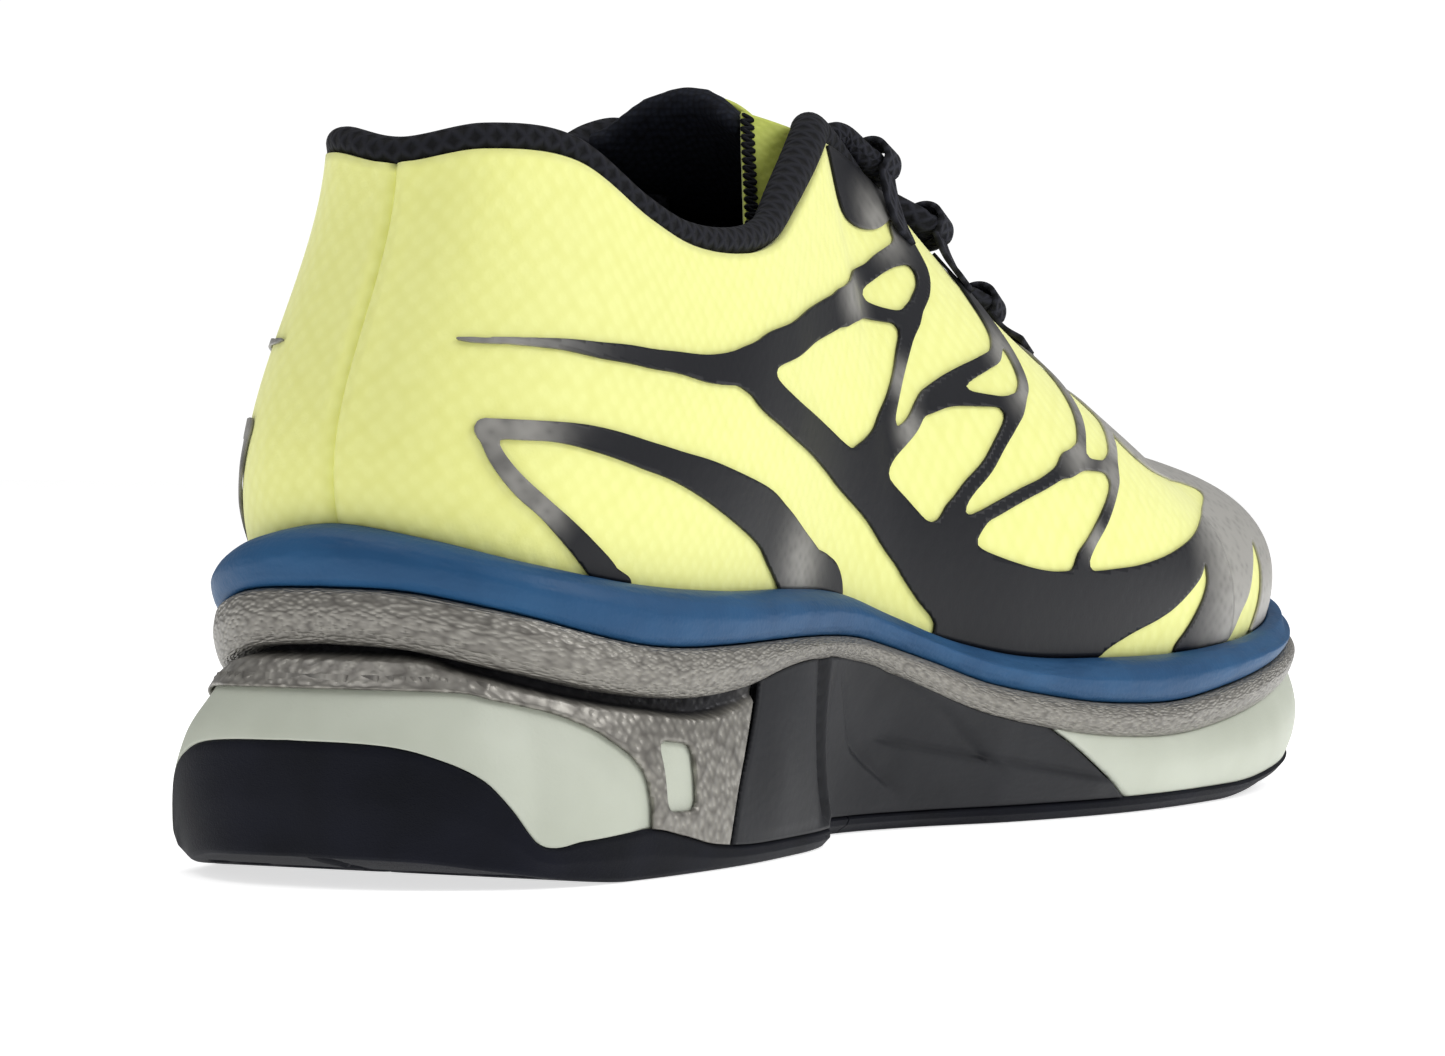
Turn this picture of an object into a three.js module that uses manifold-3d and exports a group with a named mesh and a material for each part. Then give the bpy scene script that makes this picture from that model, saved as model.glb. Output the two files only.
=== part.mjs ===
// Running shoe for a left foot, built as separate pieces: a layered sole unit, a knitted upper with
// heat-welded film, a padded tongue, a removable insole and one lace drawn through webbing loops.
//
// Millimetres. +X points to the toe, +Y to the outer (lateral) side, +Z up; the floor is at z = 0.
// Places on the shoe are given by u and t. u runs round the feather line, where upper meets sole:
// -1 at the toe tip, then the inner (medial) side, 0 at the back of the heel, then the outer side,
// +1 at the toe tip again. s is the size of u. t climbs a rib of the upper: 0 at the feather line,
// 1 at its top edge, and below 0 it is the margin that drops into the sole's cup.
import * as THREE from "three";
import { mergeVertices } from "three/addons/utils/BufferGeometryUtils.js";
import Module from "manifold-3d";

const wasm = await Module();
wasm.setup();

// ---- Driving dimensions -------------------------------------------------------------------------
const LAST_LENGTH = 283; // feather line, heel to toe
const LAST_WIDTH = 95; // feather line, across the ball
const COLLAR_RISE = 53; // feather line to collar at the back seam
const GAP = 0.3; // clearance between pieces that touch

const SHELL = 2.4; // knit of the upper
const FILM = 0.8; // welded film
const COUNTER = 1.5; // heel counter
const PUFF = 1.0; // toe puff
const LINING = 5.0; // collar foam and lining
const BINDING_R = 2.2; // rolled collar binding, half its thickness
const TONGUE = 6.0; // tongue padding
const TONGUE_FACE = 1.2; // woven outer face of the tongue
const TONGUE_HALF_WIDTH = 11; // tongue above the top lace loops
const LACE_R = 2.0; // round lace
const LOOP_WALL = 0.9; // webbing of a lace loop
const LOOP_WIDTH = 4.5;
const AGLET_R = 1.5;
const AGLET_LENGTH = 14;

const CUP_TAPER = 5; // how far the cup wall leans in from lip to floor
const CUP_FLOOR = 3.5; // rim foam under the foot
const PLATE = 2.3; // chassis plate under the rim foam
const BOARD = 1.8; // strobel board
const INSOLE = 4.2; // sockliner
const SKIN = 2.6; // chassis wall over the heel foam
const OUTSOLE = 3.2; // rubber
const TREAD_DEPTH = 1.6; // flex grooves
const TREAD_WIDTH = 3.0;
const BAND_OUT = 5; // sole wall outside the feather line, at the chassis band
const RIM_OUT = 6; // and at the widest line of the rim

const STATIONS = 28; // round each side
const ROWS = 6; // up the upper

// ---- Curves --------------------------------------------------------------------------------------
// A smooth curve through keys [position, value, value...], with finite-difference slopes.
function smooth(keys) {
  const slope = keys.map((_, i) => {
    const a = keys[Math.max(i - 1, 0)];
    const b = keys[Math.min(i + 1, keys.length - 1)];
    return a.map((v, k) => (b[k] - v) / (b[0] - a[0]));
  });
  return (at) => {
    const p = Math.min(Math.max(at, keys[0][0]), keys[keys.length - 1][0]);
    const next = keys.findIndex((k) => k[0] > p);
    const i = next < 0 ? keys.length - 2 : next - 1;
    const h = keys[i + 1][0] - keys[i][0];
    const w = (p - keys[i][0]) / h;
    const [w2, w3] = [w * w, w * w * w];
    return keys[i].slice(1).map((v, k) => {
      const c = k + 1;
      const from = (2 * w3 - 3 * w2 + 1) * v + (w3 - 2 * w2 + w) * h * slope[i][c];
      const to = (3 * w2 - 2 * w3) * keys[i + 1][c] + (w3 - w2) * h * slope[i + 1][c];
      return from + to;
    });
  };
}
const value = (keys) => {
  const f = smooth(keys);
  return (s) => f(s)[0];
};

const stretchX = LAST_LENGTH / 283;
const stretchY = LAST_WIDTH / 95;
const stretchZ = COLLAR_RISE / 53;

// Feather line of the inner side: s, then x, y, z. The first key mirrors the third, so the line
// crosses the back of the heel without a corner.
const featherKeys = smooth([
  [-0.05, 12, 14, 50], [0, 10, 0, 52], [0.05, 12, -14, 50], [0.1, 21, -26, 46.3], [0.16, 38, -32.5, 43],
  [0.24, 60, -35, 41.3], [0.33, 85, -33.5, 40.8], [0.4, 105, -31, 39.5], [0.46, 121, -32, 35.5],
  [0.52, 138, -35, 30.8], [0.58, 157, -39.5, 27.5], [0.66, 182, -44, 26.5], [0.74, 207, -46, 26.5],
  [0.82, 235, -45, 28], [0.89, 259, -39.5, 30.5], [0.94, 276, -30.5, 33.5], [0.98, 289, -16, 36.5],
  [1, 293, -4, 37.5],
]);
// Top edge of the inner side: collar, eyestay peak, throat, then the ridge of the toe box.
const topKeys = smooth([
  [-0.05, 30, 13, 107], [0, 26, 0, 105], [0.05, 30, -13, 107], [0.11, 42, -22, 105.5], [0.17, 54, -28, 97],
  [0.22, 63, -30.5, 93.2], [0.28, 76, -32, 92.4], [0.33, 89, -31, 94.6], [0.37, 100, -28.5, 99.7],
  [0.41, 110, -26, 105.3], [0.45, 118, -23.5, 110], [0.475, 124, -20.5, 111.5],
  [0.51, 134, -19.5, 109], [0.55, 147, -20, 103], [0.6, 162, -20.5, 94.5], [0.65, 178, -20, 85],
  [0.7, 193, -19, 76.5], [0.75, 207, -16, 69.5], [0.79, 218, -9, 66], [0.82, 226, -4, 64],
  [0.88, 238, -4, 61.5], [0.94, 246, -4, 59.5], [1, 250, -4, 58.6],
]);
// Handles of a rib: bulge and rise at the foot, shoulder and drop at the top, lean of the top edge.
const ribKeys = smooth([
  [0, 7, 0.33, 1, 0.35, 10], [0.1, 6, 0.33, 2, 0.35, 8], [0.2, 3, 0.33, 3, 0.33, 6],
  [0.35, 2, 0.33, 3, 0.33, 8], [0.48, 3, 0.36, 7, 0.33, 25], [0.55, 5, 0.42, 13, 0.25, 40],
  [0.65, 6, 0.46, 19, 0.12, 52], [0.75, 6, 0.5, 24, 0.05, 66], [0.82, 6, 0.55, 27, 0, 90],
  [0.9, 6, 0.6, 28, 0, 90], [0.96, 6, 0.6, 27, 0, 90], [1, 5, 0.6, 26, 0, 90],
]);
// The outer side mirrors the inner one about this mid line, with its own width share.
const midLine = value([[0, 0], [0.46, 0], [0.6, -1], [0.72, -3], [0.82, -4], [1, -4]]);
const outerShare = value([
  [0, 0.98], [0.04, 0.9], [0.1, 0.83], [0.16, 0.87], [0.24, 0.95], [0.33, 1.05], [0.46, 1.18],
  [0.58, 1.16], [0.72, 1.16], [0.82, 1.1],
  [0.89, 1.04], [0.94, 0.95], [0.98, 0.9], [1, 1],
]);
// Heights of the sole's level lines: foot of the rim, foot of the chassis band, top of the rubber,
// ground line of the rubber and floor of the foot cup.
const rimFoot = value([
  [0, 43.4], [0.042, 42.9], [0.083, 40.2], [0.128, 36.3], [0.16, 34.5], [0.2, 33.8], [0.313, 34],
  [0.374, 33.6], [0.419, 32.5], [0.486, 28.5], [0.546, 23.8], [0.612, 20.5], [0.658, 19.3],
  [0.712, 19], [0.772, 20.7], [0.86, 24.5], [0.94, 28.5], [1, 31],
]);
const bandFoot = value([
  [0, 35], [0.042, 34.3], [0.083, 31.4], [0.128, 28.2], [0.16, 26.8], [0.2, 26.1], [0.25, 27],
  [0.3, 29.2], [0.342, 30], [0.406, 29], [0.454, 26.4], [0.514, 21], [0.546, 18.4], [0.594, 15.6],
  [0.648, 13.6], [0.712, 12.9], [0.772, 14.4], [0.86, 18.8], [0.94, 23.6], [1, 26.5],
]);
const rubberTop = value([
  [0, 21.5], [0.04, 21], [0.06, 19], [0.075, 16], [0.084, 12], [0.094, 6.5], [0.11, 6.8],
  [0.15, 7.6], [0.18, 6], [0.21, 4.2], [0.26, 3.4], [0.78, 3.2], [0.84, 4.4], [0.9, 6.2],
  [0.95, 8.7], [1, 11.2],
]);
const groundKeys = value([
  [0, 4.3], [0.05, 3.9], [0.08, 2.5], [0.11, 0.8], [0.14, 0], [0.78, 0], [0.84, 1.2], [0.9, 3],
  [0.95, 5.5], [1, 8],
]);
const ground = (s) => (s > 0.14 && s < 0.78 ? 0 : Math.max(0, groundKeys(s)));
const cupFloor = value([
  [0, 31], [0.1, 30.5], [0.24, 29.5], [0.4, 28], [0.52, 24.5], [0.62, 20.4], [0.74, 18.9],
  [0.82, 20], [0.89, 22.7], [0.94, 25.5], [1, 28.5],
]);
// How far the sole wall stands outside the feather line at mid height, at the top of the rubber
// and at the ground.
const midOut = value([
  [0, 10.5], [0.1, 9], [0.15, 7.5], [0.2, 6], [0.3, 4.5], [0.36, 3], [0.41, -1], [0.46, -2.5],
  [0.52, 0], [0.58, 3], [0.66, 5], [0.74, 5.5], [0.89, 5.5], [1, 5],
]);
const rubberTopOut = value([
  [0, 13.5], [0.05, 13], [0.08, 12.3], [0.1, 11.5], [0.15, 8.3], [0.2, 6.3], [0.3, 5], [0.36, 4],
  [0.385, 2], [0.41, -4], [0.46, -6], [0.52, -4], [0.58, 0], [0.66, 3.5], [0.74, 4.5],
  [0.89, 4.5], [1, 4],
]);
const groundOut = value([
  [0, 11], [0.05, 12], [0.1, 11.8], [0.15, 7.8], [0.2, 5.6], [0.3, 4], [0.36, 3], [0.385, 1], [0.41, -6], [0.46, -8],
  [0.52, -6], [0.58, -1], [0.66, 2], [0.74, 2.5], [0.89, 1.5], [1, 0],
]);

function feather(u) {
  const s = Math.abs(u);
  const [x, y, z] = featherKeys(s);
  const across = u > 0 ? 2 * midLine(s) - y * outerShare(s) : y;
  return new THREE.Vector3(x * stretchX, across * stretchY, z);
}
// The top edge has no width share, so both sides meet on the ridge of the toe box.
function topEdge(u) {
  const s = Math.abs(u);
  const [x, y, z] = topKeys(s);
  const foot = featherKeys(s)[2];
  const across = u > 0 ? 2 * midLine(s) - y : y;
  return new THREE.Vector3(x * stretchX, across * stretchY, foot + (z - foot) * stretchZ);
}
// Horizontal direction that points out of the shoe at u.
const TURN_STEP = 2e-3;
function outward(u) {
  if (Math.abs(u) > 1 - TURN_STEP) return new THREE.Vector3(1, 0, 0);
  const d = feather(u + TURN_STEP).sub(feather(u - TURN_STEP));
  return new THREE.Vector3(-d.y, d.x, 0).normalize();
}
const UP = new THREE.Vector3(0, 0, 1);
// Direction that the thickness of the upper takes at its top edge.
function crown(u) {
  const lean = THREE.MathUtils.degToRad(ribKeys(Math.abs(u))[4]);
  return outward(u).multiplyScalar(Math.cos(lean)).addScaledVector(UP, Math.sin(lean));
}
// A point of the upper, `out` mm outside its outer face.
function skin(u, t, out = 0) {
  const s = Math.abs(u);
  const [foot, top, n] = [feather(u), topEdge(u), outward(u)];
  if (t < 0) {
    const low = cupFloor(s) + GAP;
    return foot.addScaledVector(n, out + CUP_TAPER * t).setZ(foot.z + (foot.z - low) * t);
  }
  const [bulge, rise, shoulder, drop] = ribKeys(s);
  const height = top.z - foot.z;
  const a = foot.clone().addScaledVector(n, out);
  const b = a.clone().addScaledVector(n, bulge).addScaledVector(UP, rise * height);
  const d = top.clone().addScaledVector(crown(u), out);
  const c = d.clone().addScaledVector(n, shoulder).addScaledVector(UP, -drop * height);
  return new THREE.CubicBezierCurve3(a, b, c, d).getPoint(t);
}
const wall = (u, out, z) => feather(u).addScaledVector(outward(u), out).setZ(z);

// ---- Grid lines shared by every piece, so that neighbours have matching facets --------------------
const END_CROWDING = 0.35; // stations sit closer at heel and toe, where the outline turns
const station = (i) => {
  const w = i / STATIONS;
  return w - (END_CROWDING * Math.sin(2 * Math.PI * w)) / (2 * Math.PI);
};
const allStations = Array.from({ length: STATIONS + 1 }, (_, i) => station(i));
const nearestStation = (s) =>
  allStations.reduce((a, b) => (Math.abs(b - s) < Math.abs(a - s) ? b : a));
const between = (lines, from, to) => [
  from, ...lines.filter((v) => v > from + 1e-3 && v < to - 1e-3), to,
];
const uLines = [...allStations.slice(1).reverse().map((s) => -s), ...allStations];
const tLines = [-1, ...Array.from({ length: ROWS + 1 }, (_, j) => j / ROWS)];
const uGap = (GAP / LAST_LENGTH) * 1.1; // the clearance, as a share of the way round one side

// ---- Solids --------------------------------------------------------------------------------------
function solid(geometry) {
  geometry.deleteAttribute("normal");
  geometry.deleteAttribute("uv");
  const merged = mergeVertices(geometry, 1e-4);
  const corners = Uint32Array.from(merged.index.array);
  const vertProperties = Float32Array.from(merged.attributes.position.array);
  const build = () => new wasm.Manifold(new wasm.Mesh({ numProp: 3, vertProperties, triVerts: corners }));
  const made = build();
  if (made.volume() > 0) return made;
  for (let i = 0; i < corners.length; i += 3) {
    [corners[i + 1], corners[i + 2]] = [corners[i + 2], corners[i + 1]];
  }
  return build();
}
function solidFrom(points, triangles) {
  const geometry = new THREE.BufferGeometry().setFromPoints(points);
  geometry.setIndex(triangles);
  return solid(geometry);
}
const join = (parts) => parts.reduce((a, b) => a.add(b));
const FINE = 0.06; // facets flatter than this are merged after a cut
const tidy = (m) => m.simplify(FINE);
// The largest body of a solid, without slivers left by a cut.
const largest = (m) => tidy(m.decompose().sort((a, b) => b.volume() - a.volume())[0]);
// A closed sheet between two faces, each a function of a column and a row.
function sheet(columns, rows, outer, inner) {
  const points = [outer, inner].flatMap((face) => columns.flatMap((c) => rows.map((r) => face(c, r))));
  const [nc, nr] = [columns.length, rows.length];
  const at = (k, i, j) => (k * nc + i) * nr + j;
  const triangles = [];
  const quad = (a, b, c, d) => triangles.push(a, b, c, a, c, d);
  for (let i = 0; i + 1 < nc; i++) {
    for (let j = 0; j + 1 < nr; j++) {
      quad(at(0, i, j), at(0, i + 1, j), at(0, i + 1, j + 1), at(0, i, j + 1));
      quad(at(1, i, j), at(1, i, j + 1), at(1, i + 1, j + 1), at(1, i + 1, j));
    }
    quad(at(0, i, 0), at(1, i, 0), at(1, i + 1, 0), at(0, i + 1, 0));
    quad(at(0, i, nr - 1), at(0, i + 1, nr - 1), at(1, i + 1, nr - 1), at(1, i, nr - 1));
  }
  for (let j = 0; j + 1 < nr; j++) {
    quad(at(0, 0, j), at(0, 0, j + 1), at(1, 0, j + 1), at(1, 0, j));
    quad(at(0, nc - 1, j), at(1, nc - 1, j), at(1, nc - 1, j + 1), at(0, nc - 1, j + 1));
  }
  return solidFrom(points, triangles);
}
// A piece of the upper between two offsets; an offset is a number or a function of u.
function shell([u0, u1], [t0, t1], outer, inner) {
  const offset = (v, u) => (typeof v === "function" ? v(u) : v);
  return sheet(
    between(uLines, u0, u1),
    between(tLines, t0, t1),
    (u, t) => skin(u, t, offset(outer, u)),
    (u, t) => skin(u, t, offset(inner, u)),
  );
}
// The same piece on both sides of the toe, joined along the centre.
const overToe = (from, rows, outer, inner) =>
  shell([-1, -from], rows, outer, inner).add(shell([from, 1], rows, outer, inner));

// A stack of closed rings round the shoe, each [out, z] as functions of s, capped at both ends.
function ringStack(levels) {
  const size = 2 * STATIONS;
  const points = levels.flatMap(([out, z]) =>
    Array.from({ length: size }, (_, i) => {
      const u = i <= STATIONS ? -station(i) : station(size - i);
      return wall(u, out(Math.abs(u)), z(Math.abs(u)));
    }),
  );
  const triangles = [];
  const quad = (a, b, c, d) => triangles.push(a, b, c, a, c, d);
  for (let k = 0; k + 1 < levels.length; k++) {
    for (let i = 0; i < size; i++) {
      const j = (i + 1) % size;
      quad(k * size + i, k * size + j, (k + 1) * size + j, (k + 1) * size + i);
    }
  }
  const top = (levels.length - 1) * size;
  for (let i = 0; i < STATIONS; i++) {
    const [a, b] = [(size - i) % size, size - i - 1];
    quad(i, a, b, i + 1);
    quad(top + i, top + i + 1, top + b, top + a);
  }
  return solidFrom(points, triangles);
}
// A prism right across the shoe, from a side outline of [x, z] points.
const FAR = 90;
function prism(outline) {
  const shape = new THREE.Shape(outline.map(([x, z]) => new THREE.Vector2(x * stretchX, z)));
  const geometry = new THREE.ExtrudeGeometry(shape, { depth: 2 * FAR, bevelEnabled: false });
  geometry.rotateX(Math.PI / 2);
  geometry.translate(0, FAR, 0);
  return solid(geometry);
}
const slab = (x0, x1, z0, z1) => prism([[x0, z0], [x1, z0], [x1, z1], [x0, z1]]);
// A round bar along a smooth path.
function bar(points, radius, steps, sides = 8) {
  const section = new THREE.Shape();
  section.absarc(0, 0, radius, Math.PI / sides, 2 * Math.PI + Math.PI / sides, false);
  const outline = new THREE.Shape(section.getSpacedPoints(sides).slice(0, sides));
  const extrudePath = new THREE.CatmullRomCurve3(points, false, "centripetal");
  return solid(new THREE.ExtrudeGeometry(outline, { extrudePath, steps, bevelEnabled: false }));
}

// ---- Materials -----------------------------------------------------------------------------------
const material = (color, roughness, metalness = 0) =>
  new THREE.MeshStandardMaterial({ color, roughness, metalness });
const looks = {
  knit: material(0xe9ec6a, 0.75),
  film: material(0x2b2a30, 0.45),
  textile: material(0x15161c, 0.9),
  rim: material(0x2a5784, 0.55),
  chassis: material(0x9a948c, 0.35, 0.5),
  foam: material(0xbcc8bb, 0.6),
  shank: material(0x35353b, 0.6),
  rubber: material(0x1d1f28, 0.8),
  board: material(0xd8d4c8, 0.9),
  stiffener: material(0xe6e4de, 0.6),
  tip: material(0x202024, 0.3),
};
const shoe = new THREE.Group();
function add(name, look, manifold) {
  const mesh = manifold.getMesh();
  const geometry = new THREE.BufferGeometry();
  geometry.setAttribute("position", new THREE.BufferAttribute(Float32Array.from(mesh.vertProperties), 3));
  geometry.setIndex(new THREE.BufferAttribute(Uint32Array.from(mesh.triVerts), 1));
  const piece = new THREE.Mesh(geometry, looks[look]);
  piece.name = name;
  shoe.add(piece);
  return manifold;
}

// ---- Sole unit -----------------------------------------------------------------------------------
const always = (v) => () => v;
const lip = (s) => featherKeys(s)[2];
const mix = (a, b, w) => (s) => a(s) * (1 - w) + b(s) * w;
const lower = (f, by) => (s) => f(s) - by;
const rimUnder = lower(cupFloor, CUP_FLOOR);
const plateTop = lower(rimUnder, GAP);
const plateUnder = lower(plateTop, PLATE);
const RIM_NECK = 2.2; // rim foam hidden inside the chassis band
const CUP_NECK = -3; // and at its bottom corner
const PLATE_EDGE = CUP_NECK + GAP + 1.5;

// The rim is one full-length foam cup: hidden neck, outer wall, lip, inner wall, floor.
function midsoleRim() {
  return ringStack([
    [always(CUP_NECK), rimUnder],
    [always(RIM_NECK), lower(rimFoot, 0.5)],
    [always(BAND_OUT), rimFoot],
    [always(RIM_OUT), mix(rimFoot, lip, 0.5)],
    [always(4.2), lower(lip, 1.6)],
    [always(1.6), lower(lip, 0.1)],
    [always(GAP), lower(lip, 0.6)],
    [always(GAP - CUP_TAPER), cupFloor],
  ]);
}
// The chassis is a plate with an upturned band that wraps the neck of the rim. It is listed from
// the inside out, so that its facets match those of the rim above and the foam below.
function chassisBowl() {
  return ringStack([
    [always(CUP_NECK + GAP), plateTop],
    [always(RIM_NECK + GAP), lower(rimFoot, 0.5 + GAP)],
    [always(BAND_OUT), lower(rimFoot, GAP)],
    [always(BAND_OUT + 0.8), mix(bandFoot, rimFoot, 0.5)],
    [always(BAND_OUT - 0.5), bandFoot],
    [always(BAND_OUT - 2.7), lower(bandFoot, 0.1)],
    [always(PLATE_EDGE), plateUnder],
  ]);
}
const RUBBER_EDGE = 3; // width of the rubber's raised edge
const rubberInnerOut = lower(groundOut, RUBBER_EDGE);
const rubberUpper = (s) => ground(s) + OUTSOLE;
const midHeight = mix(bandFoot, rubberTop, 0.5);
// Everything between the chassis and the rubber, before it is divided along the shoe.
function soleBlock() {
  return ringStack([
    [lower(rubberInnerOut, GAP), (s) => rubberUpper(s) + GAP],
    [lower(rubberTopOut, GAP), (s) => rubberTop(s) + GAP],
    [midOut, midHeight],
    [always(BAND_OUT - 0.8), lower(bandFoot, GAP)],
    [always(BAND_OUT - 2.4), lower(bandFoot, 2 * GAP)],
    [always(PLATE_EDGE + GAP), lower(plateUnder, GAP)],
  ]);
}
// The heel wall alone, `inset` mm inside the sole's outer face, from rubber to band.
function heelWall(inset, reach) {
  return ringStack([
    [lower(rubberTopOut, inset), (s) => rubberTop(s) + GAP - reach],
    [lower(midOut, inset), midHeight],
    [always(BAND_OUT - 0.7 - inset), (s) => bandFoot(s) + 0.6 + reach],
  ]);
}
// Side outlines that divide the block: foot of the groove under the band, foot of the hoop below
// it, rear and front edge of the pillar with its window, and front edge of the arch shank.
const GROOVE = [[-20, 33.2], [5, 33], [9.4, 30.9], [13.5, 29.1], [20.5, 27], [27, 25.7], [36, 24.4]];
const HOOP_FOOT = [[26, 21.2], [23.6, 22.6], [17.7, 25.1], [10.9, 27], [6.8, 28.2], [-20, 29.6]];
const PILLAR_REAR = [[34, -5], [33.2, 13], [31, 17.5], [26, 21.2]];
const PILLAR_FRONT = [[53, -5], [58, 10], [62, 18], [70, 33]];
const WINDOW = [[38, 19.5], [45, 18.5], [45, 10], [39, 10.5]];
const SHANK_FRONT = [[190, -5], [186, 0.4], [180, 4.2], [173, 8.4], [166, 12.6], [158, 17], [150, 24]];
const shifted = (outline, dx) => outline.map(([x, z]) => [x + dx, z]);
const CEILING = 60;

function chassisLegs() {
  const hoop = prism([...GROOVE, ...HOOP_FOOT]);
  const head = [[70, CEILING], [52, CEILING], [50, 24], [36, 24.4], [27, 25.7]];
  const pillar = prism([...PILLAR_REAR.slice().reverse(), ...PILLAR_FRONT, ...head]);
  return heelWall(0, 0).subtract(heelWall(SKIN, 8)).intersect(hoop.add(pillar).subtract(prism(WINDOW)));
}
const behind = (edge) => prism([[-40, -5], ...edge, [edge[edge.length - 1][0], CEILING], [-40, CEILING]]);
const ahead = (edge) => prism([...edge, [edge[edge.length - 1][0], CEILING], [340, CEILING], [340, -5]]);

function soleUnit() {
  add("midsole_rim", "rim", midsoleRim());
  const legs = chassisLegs();
  add("chassis_frame", "chassis", largest(chassisBowl().add(legs)));
  const block = soleBlock();
  const grooveFloor = [...GROOVE, [52, 23], [70, 28]];
  const underGroove = prism([[-40, -5], [80, -5], [80, CEILING], [72, CEILING],
    ...grooveFloor.map(([x, z]) => [x, z - 2]).reverse(), [-40, 31]]);
  // The heel foam fills the chassis from inside and comes out to the sole's face behind the pillar
  // and in its window.
  const face = prism([[-40, -5], ...shifted(PILLAR_REAR, -2 * GAP), ...HOOP_FOOT.slice(1)
    .map(([x, z]) => [x, z - 2 * GAP]), [-40, 29]]);
  const light = prism([[38.5, 19], [44.5, 18.1], [44.5, 10.5], [39.5, 11]]);
  const inside = heelWall(SKIN + GAP, 8);
  const heel = block.intersect(behind(shifted(PILLAR_FRONT, -2 * GAP))).intersect(underGroove);
  add("heel_foam", "foam", largest(heel.intersect(join([inside, face, light]))));
  const arch = block.intersect(ahead(shifted(PILLAR_FRONT, 2 * GAP))).intersect(behind(SHANK_FRONT));
  add("arch_shank", "shank", largest(arch));
  add("toe_foam", "foam", largest(block.intersect(ahead(shifted(SHANK_FRONT, GAP)))));
}

// ---- Rubber --------------------------------------------------------------------------------------
const HEEL_RUBBER_END = 121;
const HEEL_TREAD = [18, 36, 54, 72, 90, 106];
const FOREFOOT_TREAD = [140, 158, 175, 192, 209, 226, 243];
function rubber() {
  const whole = ringStack([
    [rubberInnerOut, rubberUpper],
    [rubberTopOut, rubberTop],
    [groundOut, ground],
  ]);
  const cut = (x) => slab(x - TREAD_WIDTH / 2, x + TREAD_WIDTH / 2, -5, TREAD_DEPTH);
  const [heelCuts, foreCuts] = [HEEL_TREAD, FOREFOOT_TREAD].map((list) => join(list.map(cut)));
  const heel = whole.intersect(slab(-40, HEEL_RUBBER_END - GAP / 2, -5, CEILING));
  const fore = whole.intersect(slab(HEEL_RUBBER_END + GAP / 2, 340, -5, CEILING));
  add("outsole_heel", "rubber", largest(heel.subtract(heelCuts)));
  add("outsole_forefoot", "rubber", largest(fore.subtract(foreCuts)));
}

// ---- Inside --------------------------------------------------------------------------------------
const BED_OUT = -(CUP_TAPER + SHELL + 0.4); // board and insole, inside the upper's margin
const bedLevel = (by) => (s) => cupFloor(s) + by;
function footBed() {
  const boardTop = GAP + BOARD;
  const board = [[always(BED_OUT), bedLevel(GAP)], [always(BED_OUT), bedLevel(boardTop)]];
  const insoleFoot = boardTop + GAP;
  const insole = [
    [always(BED_OUT - 0.6), bedLevel(insoleFoot)],
    [always(BED_OUT), bedLevel(insoleFoot + 1)],
    [always(BED_OUT), bedLevel(insoleFoot + INSOLE - 1)],
    [always(BED_OUT - 1), bedLevel(insoleFoot + INSOLE)],
  ];
  add("strobel_board", "board", ringStack(board));
  add("insole", "textile", ringStack(insole));
}

// ---- Upper ---------------------------------------------------------------------------------------
const SEAM = nearestStation(0.57); // quarters meet the vamp here, under the welded film
const UNDER = -(SHELL + GAP); // inner face of the knit, with clearance
const COLLAR_END = 0.45; // the padded collar stops short of the eyestay peak
const BINDING_END = 0.47;
const liningDepth = value([[0, 1], [0.3, 1], [0.38, 0.7], [0.45, 0.3], [1, 0.3]]);
function upper() {
  add("quarter_medial", "knit", shell([-SEAM, -uGap], [-1, 1], 0, -SHELL));
  add("quarter_lateral", "knit", shell([uGap, SEAM], [-1, 1], 0, -SHELL));
  add("vamp", "knit", overToe(SEAM + uGap, [-1, 1], 0, -SHELL));
  const counterEnd = nearestStation(0.22);
  add("heel_counter", "stiffener", shell([-counterEnd, counterEnd], [1 / ROWS, 4 / ROWS], UNDER, UNDER - COUNTER));
  const padFace = UNDER - COUNTER - GAP;
  const padEnd = nearestStation(COLLAR_END);
  const padInner = (u) => padFace - LINING * liningDepth(Math.abs(u));
  add("collar_lining", "textile", shell([-padEnd, padEnd], [2 / ROWS, 0.965], padFace, padInner));
  add("toe_puff", "stiffener", overToe(nearestStation(0.9), [1 / ROWS, 3 / ROWS], UNDER, UNDER - PUFF));
  add("toe_cap", "film", overToe(nearestStation(0.8) + uGap, [0.04, 3 / ROWS], GAP + FILM, GAP));
}
function collarBinding() {
  const points = [];
  const count = 41;
  for (let i = 0; i < count; i++) {
    const u = BINDING_END * ((2 * i) / (count - 1) - 1);
    const inset = -SHELL / 2 - 1.2;
    points.push(topEdge(u).addScaledVector(outward(u), inset).addScaledVector(UP, BINDING_R + 2 * GAP));
  }
  add("collar_binding", "textile", bar(points, BINDING_R, 36, 8));
}

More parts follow.
